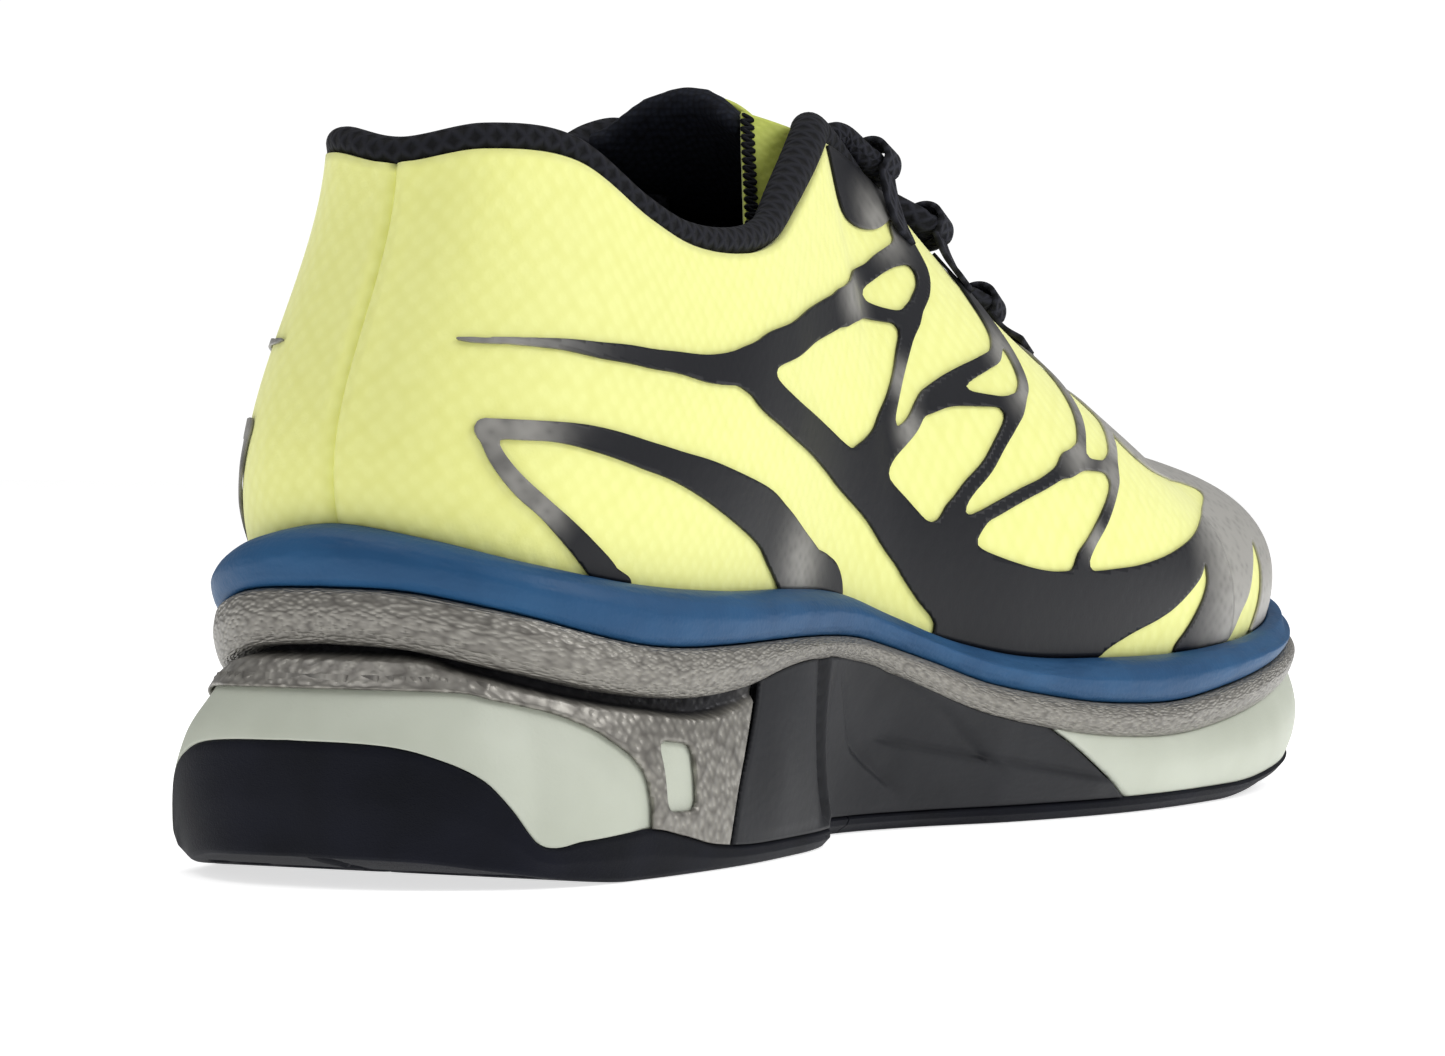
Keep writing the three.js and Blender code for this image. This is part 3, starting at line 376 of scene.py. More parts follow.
def smaller(a, b, corner):
    h = np.clip(.5 + .5 * (b - a) / corner, 0, 1)
    return b * (1 - h) + a * h - corner * h * (1 - h)


def roll(distance, radius):
    """How far an edge has rounded away at this distance inside its outline."""
    w = np.clip(1 - distance / radius, 0, 1)
    return radius * (1 - np.sqrt(1 - w * w))


def smooth_line(points, count=60):
    points = np.array(points, float)
    step = np.sqrt(np.linalg.norm(np.diff(points, axis=0), axis=1))
    at = np.concatenate([[0], np.cumsum(step)])
    return curve(np.column_stack([at, points]))(np.linspace(0, at[-1], count))


def beside(line, x, z):
    """Signed distance to a line in side view, positive on its left; the ends run on straight."""
    line = np.array(line, float)
    p = np.stack([x, z], -1)[:, None]
    a, ab = line[:-1], np.diff(line, axis=0)
    w = ((p - a) * ab).sum(-1) / (ab**2).sum(-1)
    low, high = np.zeros(len(ab)), np.ones(len(ab))
    low[0], high[-1] = -1e6, 1e6
    off = p - a - np.clip(w, low, high)[..., None] * ab
    far = np.linalg.norm(off, axis=-1)
    near = far.argmin(1)[:, None]
    cross = ab[..., 0] * (p - a)[..., 1] - ab[..., 1] * (p - a)[..., 0]
    return (far * np.sign(cross))[np.arange(len(x))[:, None], near][:, 0]


def along(points, path):
    """Distance from points to a path in space, and the share of the path nearest to each."""
    a, ab = path[:-1], np.diff(path, axis=0)
    length = np.maximum((ab**2).sum(-1), 1e-9)
    w = np.clip(((points[:, None] - a) * ab).sum(-1) / length, 0, 1)
    far = np.linalg.norm(points[:, None] - a - w[..., None] * ab, axis=-1)
    near = far.argmin(1)
    rows = np.arange(len(points))
    return far[rows, near], (near + w[rows, near]) / len(ab)


# %% [markdown]
# ## Knitted upper
# The upper is a lemon knit with a thin skin laminated on it, embossed with small diamonds. It is one
# sheet bent round the last from toe to heel to toe, 2.4 mm thick, with its lower margin hidden in
# the sole. The back seam is a shallow groove with the cloth swelling a little on both sides of it.

# %% Knit finish
def embossed(tree, cell, stretch=(1, 1, 1), jitter=.3, turn=45):
    """Distance inside cells laid in the piece's own millimetres."""
    place = add(tree, "TexCoord")
    laid = add(tree, "Mapping", {"Vector": place.outputs["UV"], "Rotation": (0, 0, math.radians(turn)),
                                 "Scale": [k * 1000 / cell for k in stretch]})
    return add(tree, "TexVoronoi", {"Vector": laid.outputs["Vector"], "Scale": 1, "Randomness": jitter},
               feature="SMOOTH_F1")


def grain(tree, size, detail=3.0):
    """Noise in object space; size in millimetres."""
    place = add(tree, "TexCoord")
    return add(tree, "TexNoise", {"Vector": place.outputs["Object"], "Scale": 1000 / size, "Detail": detail})


def two_tone(tree, shader, factor, dark, light, spread=(.3, .7)):
    ramp = add(tree, "ValToRGB", {"Fac": factor})
    for stop, where, code in zip(ramp.color_ramp.elements, spread, (dark, light)):
        stop.position, stop.color = where, colour(code)
    tree.links.new(ramp.outputs["Color"], shader.inputs["Base Color"])
    return ramp


def relief(tree, shader, height, depth, under=None, strength=1.0):
    """Bump of a height pattern; depth in millimetres."""
    inputs = {"Height": height, "Distance": depth / 1000, "Strength": strength}
    if under:
        inputs["Normal"] = under.outputs["Normal"]
    bump = add(tree, "Bump", inputs)
    tree.links.new(bump.outputs["Normal"], shader.inputs["Normal"])
    return bump


def knit_finish(name, dark, light, cell=1.9):
    look, tree, shader = material(name, Roughness=.62)
    shader.inputs["Sheen Weight"].default_value = .25
    cells = embossed(tree, cell, stretch=(.75, 1, 1))
    threads = grain(tree, .7)
    weave = relief(tree, shader, cells.outputs["Distance"], .28, strength=.55)
    relief(tree, shader, threads.outputs["Fac"], .12, weave, strength=.5)
    two_tone(tree, shader, cells.outputs["Distance"], light, dark, (.25, .75))
    return look


lemon = knit_finish("laminated polyester knit", "#E8E986", "#F2F49A")

# %% Black textiles
def textile(name, dark, light, cell, depth=.35, rough=.85):
    look, tree, shader = material(name, Roughness=rough)
    shader.inputs["Specular IOR Level"].default_value = .2
    place = add(tree, "TexCoord")
    cells = add(tree, "TexVoronoi",
                {"Vector": place.outputs["Object"], "Scale": 1000 / cell, "Randomness": .45})
    pits = relief(tree, shader, cells.outputs["Distance"], depth, strength=.8)
    relief(tree, shader, grain(tree, .5).outputs["Fac"], .1, pits, strength=.5)
    two_tone(tree, shader, cells.outputs["Distance"], light, dark, (.1, .8))
    return look


spacer = textile("black polyester spacer mesh", "#090B12", "#1B1F2B", 1.1)
fleece = textile("black lining fleece", "#0B0D13", "#1A1D26", .9, .2)

# %% Upper sheet
ROUND_LENGTH, RIB_LENGTH = 310, 55
MARGIN = -.3


def round_u(a):
    w = 1 - 2 * a
    return np.sign(w) * station(np.abs(w))


def upper_point(a, b):
    u, t = round_u(a), MARGIN + (1 - MARGIN) * b
    arc = np.abs(u) * ROUND_LENGTH
    seam = -.9 * np.exp(-(arc / .75)**2) + .35 * np.exp(-((arc - 2.2) / 1.5)**2)
    return skin(u, t, seam)


def upper_uv(a, b):
    return round_u(a) * ROUND_LENGTH, b * RIB_LENGTH


piece("knit_upper", bent(420, 52, upper_point, uv=upper_uv), lemon,
              ["quarter_medial", "quarter_lateral", "vamp"], thick=SHELL, inside_look=fleece)

# %% [markdown]
# ## Welded film
# A web of thin charcoal film is heat-welded on the knit: arms from the heel and the sole run up to
# the lace loops, and a cap covers the toe. Each arm is a ribbon with its own width along its path;
# `smaller` melts them together with the rounded inner corners that a knife-cut film has. Bright
# crescents are cut out of it near the toe. The film turns its own mottled grey at its tips. Over the
# toe it pales partly as its own grey and partly as a painted reflection, and a painted highlight
# sits at its junctions.

# %% Film shapes
WEB = [
    [[.052, .517, .24], [.063, .521, .4], [.082, .532, .55], [.101, .543, .8], [.124, .558, 1.2],
     [.152, .595, 1.45], [.187, .629, 1.65], [.225, .643, 2.2], [.26, .662, 2.7],
     [.285, .687, 2.75], [.309, .71, 2.75], [.359, .704, 2.65], [.407, .678, 2.7], [.439, .675, 2.3],
     [.465, .697, 1.85], [.49, .727, 1.5], [.506, .757, 1.6], [.522, .79, 1.8], [.536, .825, 2.3],
     [.542, .87, 2.6]],
    [[.43, .667, 2], [.463, .645, 1.6], [.491, .64, 1.2], [.515, .644, .95], [.521, .652, .85]],
    [[.442, .318, 3.3], [.46, .363, 2.4], [.47, .397, 2.1], [.484, .453, 1.4], [.496, .513, 1.15],
     [.506, .569, 1.4], [.518, .629, 1.45], [.53, .685, 1.5], [.542, .742, 1.6], [.548, .81, 2.3],
     [.543, .87, 2.6]],
    [[.27, .636, 2.4], [.29, .588, 3.2], [.319, .521, 3.05], [.357, .427, 3.1], [.389, .352, 3.3],
     [.412, .303, 3.65], [.448, .247, 4.4], [.47, .198, 5], [.49, .157, 5.2], [.513, .112, 6.1],
     [.54, .086, 7]],
    [[.457, .315, 2], [.482, .367, 1.6], [.499, .408, 1.4], [.51, .449, 1.35], [.522, .479, 1.55],
     [.535, .513, 1.4], [.553, .551, 1.4], [.575, .599, 1.3], [.593, .65, 1.3], [.603, .75, 1.5],
     [.6, .96, 1.7]],
    [[.518, .464, 1], [.535, .479, 1.1], [.56, .498, 1.05], [.576, .509, .9], [.59, .517, .9]],
    [[.604, .82, 1.4], [.611, .7, 1.3], [.61, .603, 1.25], [.602, .551, 1.2], [.59, .498, 1.45],
     [.57, .416, 1.2],
     [.555, .352, 1.2], [.539, .3, 1.3], [.53, .266, 1.4], [.524, .24, 2], [.52, .206, 3.2],
     [.511, .146, 4.7]],
    [[.535, .21, 2.4], [.548, .247, 1.2], [.559, .27, 1.1], [.58, .311, 1.05], [.599, .344, 1],
     [.615, .378, 1.15], [.628, .412, 1.5], [.64, .453, 1.05], [.65, .494, 1.05], [.662, .6, 1.2],
     [.668, .75, 1.3], [.67, .96, 1.6]],
    [[.628, .412, 1.2], [.644, .427, .92], [.665, .446, .98], [.676, .453, .95]],
    [[.738, .96, 1.8], [.715, .72, 1.4], [.69, .54, 1.2], [.676, .46, 1.1], [.673, .416, 1.05],
     [.665, .367, .95], [.652, .303, 1.07], [.637, .24, 1.1], [.629, .202, 1.7], [.627, .165, 2.5]]]
FIN = [
    [[.073, .307, 1.43], [.088, .318, 1.5], [.103, .329, 1.5], [.128, .34, 1.9], [.156, .347, 2.15],
     [.19, .342, 2.4], [.232, .31, 3.3], [.289, .225, 4.5], [.316, .15, 5.35], [.344, .064, 6.1],
     [.376, -.019, 6.6], [.39, -.1, 6.8]],
    [[.073, .3, 1.1], [.079, .247, 1.2], [.086, .206, 1.3], [.094, .172, 1.4], [.105, .138, 1.4],
     [.117, .101, 1.65], [.13, .06, 1.9], [.145, .007, 2.15], [.155, -.06, 2.2]]]
EYESTAY = [[.482, 1.1], [.476, .95], [.476, .86], [.492, .83], [.515, .845], [.534, .9],
           [.545, .96], [.548, 1.1]]
TOE_FILM = [
    [.706, 1.1], [.706, .8], [.71, .62], [.735, .55], [.775, .55], [.822, .555], [.844, .532], [.845, .5],
    [.829, .462], [.796, .404], [.768, .346], [.742, .296], [.714, .249], [.685, .214], [.661, .195],
    [.642, .183], [.622, .176], [.605, .168], [.588, .167], [.572, .171], [.558, .176], [.544, .182],
    [.532, .19], [.512, .19], [.49, .16], [.478, .108], [.495, .067], [.51, .03], [.52, -.1],
    [.7, -.12], [.9, -.12], [1.1, -.1], [1.1, .5], [1.1, 1.1], [.9, 1.15]]
CRESCENTS = [
    [[.64, -.04], [.651, .007], [.676, .049], [.705, .086], [.723, .116], [.742, .161], [.757, .205],
     [.766, .247],
     [.767, .198], [.762, .153], [.754, .108], [.743, .056], [.733, .019], [.722, -.04]],
    [[.79, -.04], [.802, .015], [.812, .075], [.826, .127], [.842, .21], [.862, .3],
     [.862, .232], [.858, .165], [.852, .094], [.845, .037], [.832, -.04]]]
FILM_SPLIT = .8


def ribbon(points, keys, side):
    """Signed distance to a ribbon's edge, negative inside."""
    path = curve([[i / (len(keys) - 1), *k] for i, k in enumerate(keys)])(np.linspace(0, 1, 8 * len(keys)))
    far, share = along(points, skin(side * path[:, 0], path[:, 1]))
    return far - np.interp(share, np.linspace(0, 1, len(path)), path[:, 2])


def inside(outline, s, t):
    """Even-odd test of places against an outline."""
    hit = np.zeros(len(s), bool)
    for (s0, t0), (s1, t1) in zip(outline, np.roll(outline, -1, axis=0)):
        crosses = (t0 > t) != (t1 > t)
        hit ^= crosses & (s < (s1 - s0) * (t - t0) / ((t1 - t0) or 1) + s0)
    return hit


def patch(points, outline, s, t, side):
    """Signed distance to a patch's edge, negative inside."""
    count = len(outline)
    wrapped = [[i, *outline[i % count]] for i in range(-1, count + 2)]
    loop = curve(wrapped)(np.linspace(0, count, 8 * count))
    line = np.clip(loop, [0, -.12], [.999, 1])
    far, _ = along(points, skin(side * line[:, 0], line[:, 1]))
    return np.where(inside(loop, s, t), -far, far)


FILLET = 3.2
# The film sheet stands this far off the skin and is this thick, in mm.
FILM_OUT = .65
FILM_THICK = .5


def film_edge(u, t, side):
    """Distance inside the film, positive where film is."""
    s = np.abs(u)
    points = skin(u, t)
    edge = np.full(len(s), 50.0)
    for keys in WEB + FIN:
        edge = smaller(edge, ribbon(points, keys, side), FILLET if keys in WEB else 1.2)
    for outline, corner in ((EYESTAY, .8), (TOE_FILM, 1.5)):
        edge = smaller(edge, patch(points, outline, s, t, side), corner)
    for outline in CRESCENTS:
        edge = -smaller(-edge, patch(points, outline, s, t, side), .8)
    return -edge


# %% Film finish
def film_finish():
    look, tree, shader = material("heat-welded polyurethane film", Roughness=.42)
    shader.inputs["Specular IOR Level"].default_value = .22
    # The attribute read here pales the film: its own mottled grey at tips and loop ends, a painted highlight
    # at the web's junctions, and partly a painted reflection over the toe.
    grey_and_painted_light = add(tree, "Attribute", attribute_name="grey_and_painted_light")
    scales = embossed(tree, 1.7, stretch=(.8, 1, 1), jitter=.5)
    mottle = add(tree, "Math", {0: scales.outputs["Distance"], 1: grey_and_painted_light.outputs["Fac"]}, operation="MULTIPLY")
    mixed = add(tree, "Math", {0: mottle.outputs[0], 1: grey_and_painted_light.outputs["Fac"]}, operation="ADD")
    two_tone(tree, shader, mixed.outputs[0], "#16171C", "#A5A39E", (.02, 1.15))
    ribs = relief(tree, shader, scales.outputs["Distance"], .1, strength=.4)
    relief(tree, shader, grain(tree, .5).outputs["Fac"], .05, ribs, strength=.35)
    return look


charcoal_film = film_finish()
# Spots (s, t, radius in mm) where the film is painted paler: the film's own mottled grey at its tips and loop
# ends, a painted highlight at the web's junctions.
GREY_AND_HIGHLIGHT_SPOTS = [[.45, .68, 5], [.6, .66, 5], [.604, .56, 4.5], [.498, .5, 3.5], [.495, .4, 3.5], [.64, .46, 5],
               [.672, .42, 5], [.64, .25, 3], [.073, .524, 11], [.075, .31, 7], [.09, .32, 6], [.09, .19, 5],
               [.103, .14, 4], [.35, .06, 8], [.52, .86, 6]]


def film_piece(name, u_of, columns, rows, nodes):
    def t_of(a, b):
        return (.992 + .008 * soft(np.abs(u_of(a)), .8, .83)) * b

    def keep(a, b):
        u, t = u_of(a), t_of(a, b)
        edge = np.empty(len(u))
        for side in (-1, 1):
            mask = (np.sign(u) == side) | ((u == 0) & (side == 1))
            if mask.any():
                edge[mask] = film_edge(u[mask], t[mask], side)
        return edge

    bm = bent(columns, rows, lambda a, b: skin(u_of(a), t_of(a, b), FILM_OUT), keep=keep,
              uv=lambda a, b: (u_of(a) * ROUND_LENGTH, t_of(a, b) * RIB_LENGTH))
    layer = bm.verts.layers.float.new("grey_and_painted_light")
    uv = bm.loops.layers.uv.active
    points, places = [], []
    for v in bm.verts:
        spot = v.link_loops[0][uv].uv if v.link_loops else (0, 0)
        points.append(v.co)
        places.append((spot[0] * 1000 / ROUND_LENGTH, spot[1] * 1000 / RIB_LENGTH))
    points, places = 1000 * np.array(points) + CENTRE, np.array(places)
    s, t = np.abs(places[:, 0]), places[:, 1]
    # Paler over the toe, forward and upward: partly the film's own grey, partly a painted reflection.
    grey_and_painted_light = .7 * soft(s + .12 * soft(t, .38, .52), .735, .82)
    # Paler spots: the film's own grey at tips and loop ends, a painted highlight at junctions.
    for spot_s, spot_t, size in GREY_AND_HIGHLIGHT_SPOTS:
        for side in (-1, 1):
            far = np.linalg.norm(points - skin(side * spot_s, spot_t), axis=-1)
            grey_and_painted_light = np.maximum(grey_and_painted_light, .5 * np.exp(-(far / size)**2))
    for v, grey in zip(bm.verts, grey_and_painted_light):
        v[layer] = grey
    return piece(name, bm, charcoal_film, nodes, thick=FILM_THICK)


def side_u(side, start, end):
    """Places along one side, ordered so that faces point outwards."""
    first, last = (start, end) if side < 0 else (end, start)
    return lambda a: side * (first + (last - first) * a)


for side, name in ((-1, "medial"), (1, "lateral")):
    film_piece(f"film_{name}", side_u(side, .025, FILM_SPLIT), 360, 84,
               [f"web_{name}", f"fin_{name}", f"eyestay_{name}"])


def over_toe(start):
    """Round the toe from `start` on the inner side, over the tip, to `start` on the outer side."""
    return lambda a: np.where(a < .5, -1, 1) * np.clip(1 - (1 - start) * np.abs(2 * a - 1), 0, .99999)


film_piece("film_toe", over_toe(FILM_SPLIT), 200, 84, ["toe_cap"])

# %% [markdown]
# ## Rim and chassis
# Foam parts of a sole are moulded, so their edges are all rounded. A ring of the sole is a cross
# section swept round the feather line; `ring` runs a smooth closed curve through the section's
# corners at every place round the shoe.

# %% Ring helper
# How far the corners of a section are rounded: 1 is full, 0 is sharp.
TENSION = .8


def ring(levels, columns=300, rows=64, u_of=round_u):
    """A closed band through [out(s), z(s)] corners, bent round the shoe."""
    def place(a, b):
        u = u_of(a)
        s = np.abs(u)
        outs = np.stack([out(s) if callable(out) else np.full(len(s), float(out)) for out, z in levels])
        heights = np.stack([z(s) for out, z in levels])
        count = len(levels)
        at = (b % 1) * count
        i = np.floor(at).astype(int)
        w = at - i
        rows_ = np.arange(len(s))

        def through(table):
            p = [table[(i + k) % count, rows_] for k in (-1, 0, 1, 2)]
            m0, m1 = (p[2] - p[0]) / 2 * TENSION, (p[3] - p[1]) / 2 * TENSION
            return ((2 * w**3 - 3 * w**2 + 1) * p[1] + (w**3 - 2 * w**2 + w) * m0
                    + (3 * w**2 - 2 * w**3) * p[2] + (w**3 - w**2) * m1)
        return wall(u, through(outs), through(heights))
    return bent(columns, rows, place, uv=lambda a, b: (u_of(a) * ROUND_LENGTH, b * 60), closed=True)


def plus(f, by):
    return lambda s: f(s) + by


def between(f, g, w):
    return lambda s: f(s) * (1 - w) + g(s) * w


def slimmer(out):
    """The rim grows thinner round the toe."""
    return lambda s: out - 1.8 * soft(s, .84, .93)


def lip(s):
    return feather_keys(s)[..., 2]


# %% [markdown]
# The rim is blue EVA foam with a fine leathery skin: soft wrinkles catch a satin light.

# %% Rim
def skinned_foam(name, dark, light, cell, depth, rough, gloss):
    look, tree, shader = material(name, Roughness=rough)
    shader.inputs["Specular IOR Level"].default_value = gloss
    creases = embossed(tree, cell, stretch=(.6, 1, 1), jitter=1.0, turn=20)
    fine = grain(tree, .8)
    under = relief(tree, shader, creases.outputs["Distance"], depth, strength=.5)
    relief(tree, shader, fine.outputs["Fac"], depth * .6, under, strength=.5)
    two_tone(tree, shader, grain(tree, 14, 2).outputs["Fac"], dark, light)
    return look


blue_eva = skinned_foam("skinned blue EVA foam", "#1D476E", "#28557E", 2.4, .3, .48, .22)
piece("rim_foam", ring([
    (2.2, plus(rim_foot, -.5)), (slimmer(4.4), plus(rim_foot, -.2)), (slimmer(5.7), plus(rim_foot, 1.2)),
    (slimmer(6.2), between(rim_foot, lip, .5)), (slimmer(5.2), plus(lip, -1.7)), (3.4, plus(lip, -.35)),
    (1.2, plus(lip, .1)), (.1, plus(lip, -.9)), (-2, between(cup_floor, lip, .4)),
    (-4.2, plus(cup_floor, 1)), (-3, plus(cup_floor, -3.4))]), blue_eva, ["midsole_rim"])

# %% [markdown]
# The chassis is a stiff moulded part painted satin silver-bronze, with a reptile-scale emboss. Its
# upper band carries the rim. Behind, a hoop runs round the heel below a groove, whose shade is
# painted dark into the silver, and drops into a pillar with a small window.

# %% Chassis finish
def scaled_silver():
    look, tree, shader = material("silver paint on moulded polyurethane", Roughness=.4, Metallic=.5)
    scales = embossed(tree, 1.3, stretch=(1, 1, 1), jitter=.7, turn=45)
    relief(tree, shader, scales.outputs["Distance"], .5, strength=.75)
    # Painted shade: the dark attribute mixes the silver to near black in the groove under the band, where
    # shade falls.
    dark = add(tree, "Attribute", attribute_name="dark")
    paint = add(tree, "ValToRGB", {"Fac": scales.outputs["Distance"]})
    for stop, where, code in zip(paint.color_ramp.elements, (.15, .7), ("#9A9790", "#64615C")):
        stop.position, stop.color = where, colour(code)
    mixed = add(tree, "Mix", {0: dark.outputs["Fac"], 6: paint.outputs["Color"], 7: colour("#26262A")},
                data_type="RGBA")
    tree.links.new(mixed.outputs[2], shader.inputs["Base Color"])
    return look


silver = scaled_silver()
piece("chassis_band", ring([
    (1.2, plus(rim_foot, -2)), (2.6, plus(rim_foot, -.9)), (4.6, plus(rim_foot, -.45)),
    (5.5, plus(rim_foot, -1.1)), (5.9, between(band_foot, rim_foot, .55)),
    (5.3, between(band_foot, rim_foot, .2)),
    (4.4, plus(band_foot, .1)), (2.4, plus(band_foot, -.2)), (0, plus(band_foot, .3))]),
    silver, ["chassis_frame"])

# %% [markdown]
# Everything between the band and the rubber lies on one bulging wall. Lines drawn in side view
# divide it: the foam behind the hoop, the silver hoop and pillar, the black arch, the toe foam.

# %% Wall between band and rubber
BAND_OUT = 5
GROOVE = smooth_line([[-30, 33.4], [5, 33], [9.4, 30.9], [13.5, 29.1], [20.5, 27], [27, 25.7],
                      [36, 24.4], [52, 23], [70, 26], [84, 28.5]])
FOAM_EDGE = smooth_line([[34, -5], [33.2, 13], [31, 17.5], [26, 21.2], [23.6, 22.6], [17.7, 25.1],
                         [10.9, 27], [6.8, 28.2], [-20, 29.6]])
PILLAR_FRONT = smooth_line([[53, -5], [58, 10], [62, 18], [70, 33]])
SHANK_FRONT = smooth_line([[190, -5], [186, .4], [180, 4.2], [173, 8.4], [166, 12.6], [158, 17], [150, 24]])
WINDOW = [[38, 10.2], [45.3, 10], [45.3, 18.8], [37.6, 19.8]]


def side_wall(u, k, out=0.0):
    """A point of the sole's wall; k runs from the rubber's top edge, 0, to the band's foot, 1."""
    s = np.abs(u)
    low, middle, high = rubber_top_out(s), mid_out(s), BAND_OUT - .8
    bow = 2 * low * (k - .5) * (k - 1) - 4 * middle * k * (k - 1) + 2 * high * k * (k - .5)
    return wall(u, bow + out, rubber_top(s) * (1 - k) + band_foot(s) * k)


def window(x, z):
    """Distance inside the window, with rounded corners."""
    edge = np.full(len(x), 40.0)
    for (x0, z0), (x1, z1) in zip(WINDOW, WINDOW[1:] + WINDOW[:1]):
        length = math.hypot(x1 - x0, z1 - z0)
        edge = smaller(edge, ((x1 - x0) * (z - z0) - (z1 - z0) * (x - x0)) / length, 2.2)
    return edge + .4


def wall_piece(name, u_of, columns, rows, edge, shape, look, nodes=(), thick=2.5, radius=.8, dark=None):
    """A piece of the wall: edge(x, z) > 0 inside it, shape(x, z, edge) its own relief in mm."""
    def seen(a, b):
        p = side_wall(u_of(a), b)
        return p[:, 0], p[:, 2]

    def place(a, b):
        x, z = seen(a, b)
        e = edge(x, z)
        return side_wall(u_of(a), b, shape(x, z, u_of(a), b) - roll(np.clip(e, 0, None), radius))

    bm = bent(columns, rows, place, keep=lambda a, b: edge(*seen(a, b)),
              uv=lambda a, b: (u_of(a) * ROUND_LENGTH, b * 20))
    # dark(x, z, u, k) is a painted shade mask, stored on the mesh as the dark attribute.
    if dark:
        layer = bm.verts.layers.float.new("dark")
        uv = bm.loops.layers.uv.active
        spots = np.array([v.link_loops[0][uv].uv for v in bm.verts])
        u, k = spots[:, 0] * 1000 / ROUND_LENGTH, spots[:, 1] * 50
        p = side_wall(u, k)
        for v, shade in zip(bm.verts, dark(p[:, 0], p[:, 2], u, k)):
            v[layer] = shade
    return piece(name, bm, look, nodes, thick=thick)


def round_heel(end):
    return lambda a: end * (1 - 2 * a)


# %% Hoop and pillar
def silver_edge(x, z):
    e = smaller(-beside(FOAM_EDGE, x, z), beside(PILLAR_FRONT, x, z) - .3, .6)
    return smaller(e, -window(x, z), .3)


def groove_depth(x, z, u, k):
    return soft(beside(GROOVE, x, z), -.5, .9) * (1 - soft(x, 42, 78))


def hoop_relief(x, z, u, k):
    return -3.4 * groove_depth(x, z, u, k)


# The hoop's dark mask paints shade into the groove under the band, fading out over the pillar.
wall_piece("chassis_hoop", round_heel(.31), 420, 72, silver_edge, hoop_relief, silver,
                  thick=2.2, radius=.7,
                  dark=lambda x, z, u, k: soft(beside(GROOVE, x, z), -.1, .7) * (1 - soft(x, 55, 88)))

# %% [markdown]
# The heel foam and the toe foam are one sage-grey compound, moulded matt with a faint sheen. It is
# a little translucent, so some light is let into it.

# %% Foam
def sage_foam():
    look, tree, shader = material("injection-moulded sage EVA foam", Roughness=.5)
    shader.inputs["Subsurface Weight"].default_value = .06
    shader.inputs["Subsurface Scale"].default_value = .004
    shader.inputs["Subsurface Radius"].default_value = (1, 1, .8)
    fine = relief(tree, shader, grain(tree, .6, 5).outputs["Fac"], .08, strength=.6)
    relief(tree, shader, grain(tree, 9, 2).outputs["Fac"], .5, fine, strength=.25)
    two_tone(tree, shader, grain(tree, 22, 3).outputs["Fac"], "#B7BCAD", "#C4C9BB")
    return look


sage = sage_foam()


def foam_edge(x, z):
    return np.maximum(beside(FOAM_EDGE, x, z) + 2, window(x, z) + 1.4)


def foam_relief(x, z, u, k):
    return -1.1 + .9 * soft(beside(FOAM_EDGE, x, z), 0, 7)


wall_piece("heel_foam_body", round_heel(.27), 300, 48, foam_edge, foam_relief, sage, ["heel_foam"],
           thick=2.5, radius=.3)
wall_piece("toe_foam_body", over_toe(.48), 420, 40, lambda x, z: -beside(SHANK_FRONT, x, z) - .15,
           lambda x, z, u, k: -.35 + .9 * np.sin(np.pi * np.clip(k, 0, 1)) * soft(x, 185, 230), sage,
           ["toe_foam"], radius=.6)

# %% [markdown]
# The arch is a dense black foam block. Its wall swells over the heel and breaks forward into flat
# facets with sharp creases, as if the mould had been cut with a knife.

# %% Arch
CREASES = [[[93, 34], [96, 18], [98, 5]], [[108, 23], [117, 14.5], [127, 9]],
           [[126, 15], [148, 11], [172, 7]], [[118, 27], [134, 20], [147, 11.5]]]
CREASE_STEP = [1.6, -.8, -.8, .7]


def arch_relief(x, z, u, k):
    out = 1.5 * soft(x, 58, 74) * (1 - soft(x, 80, 96)) * np.sin(np.pi * np.clip(k * .9 + .05, 0, 1))
    for line, step in zip(CREASES, CREASE_STEP):
        d = beside(line, x, z)
        line = np.array(line, float)
        ends = np.minimum(x - line[:, 0].min() + 6, line[:, 0].max() + 6 - x)
        near = soft(ends, 0, 6) * np.exp(-(d / 7)**2)
        out += near * (step * (soft(d, -.6, .6) - .5) - .45 * np.exp(-(d / .7)**2))
    return out * soft(k, 0, .08)


def arch_edge(x, z):
    return smaller(-beside(PILLAR_FRONT, x, z) - .3, beside(SHANK_FRONT, x, z) - .15, .5)


black_foam = skinned_foam("skinned black EVA foam", "#1A1B1F", "#232428", 1.1, .1, .55, .25)
for side, name in ((-1, "medial"), (1, "lateral")):
    wall_piece(f"arch_{name}", side_u(side, .16, .76), 360, 56, arch_edge, arch_relief, black_foam,
               ["arch_shank"] if side < 0 else [], thick=2.5, radius=.6)

# %% [markdown]
# ## Rubber outsole
# The rubber is two plates. Each is lofted along the shoe from a closed section: up one wall, over
# the lip, back inside and down again. Flex grooves run across the tread and bend like a bow.

# %% Rubber
def through(table, at):
    """Straight steps through rows of a table of arrays."""
    i = np.clip(np.floor(at).astype(int), 0, len(table) - 2)
    w, row = at - i, np.arange(len(at))
    return table[i, row] * (1 - w) + table[i + 1, row] * w


HEEL_TREAD, FORE_TREAD = [18, 36, 54, 72, 90, 106], [140, 158, 175, 192, 209, 226, 243]
RUBBER_SPLIT = .4607
# Half the slit between the two plates, as a share of the way to the toe.
RUBBER_GAP = .0005
SECTION_SHARES = [0, .08, .1, .115, .16, .2, .215, .24, .5]


def tread(x, y, grooves):
    bow = x + 5 * (y / 38)**2
    near = np.min([np.abs(bow - g) for g in grooves], axis=0)
    centre = soft(np.abs(y + .5), 1.2, 2.2)
    return 1.6 * (1 - soft(near, 1.0, 1.7) * centre)


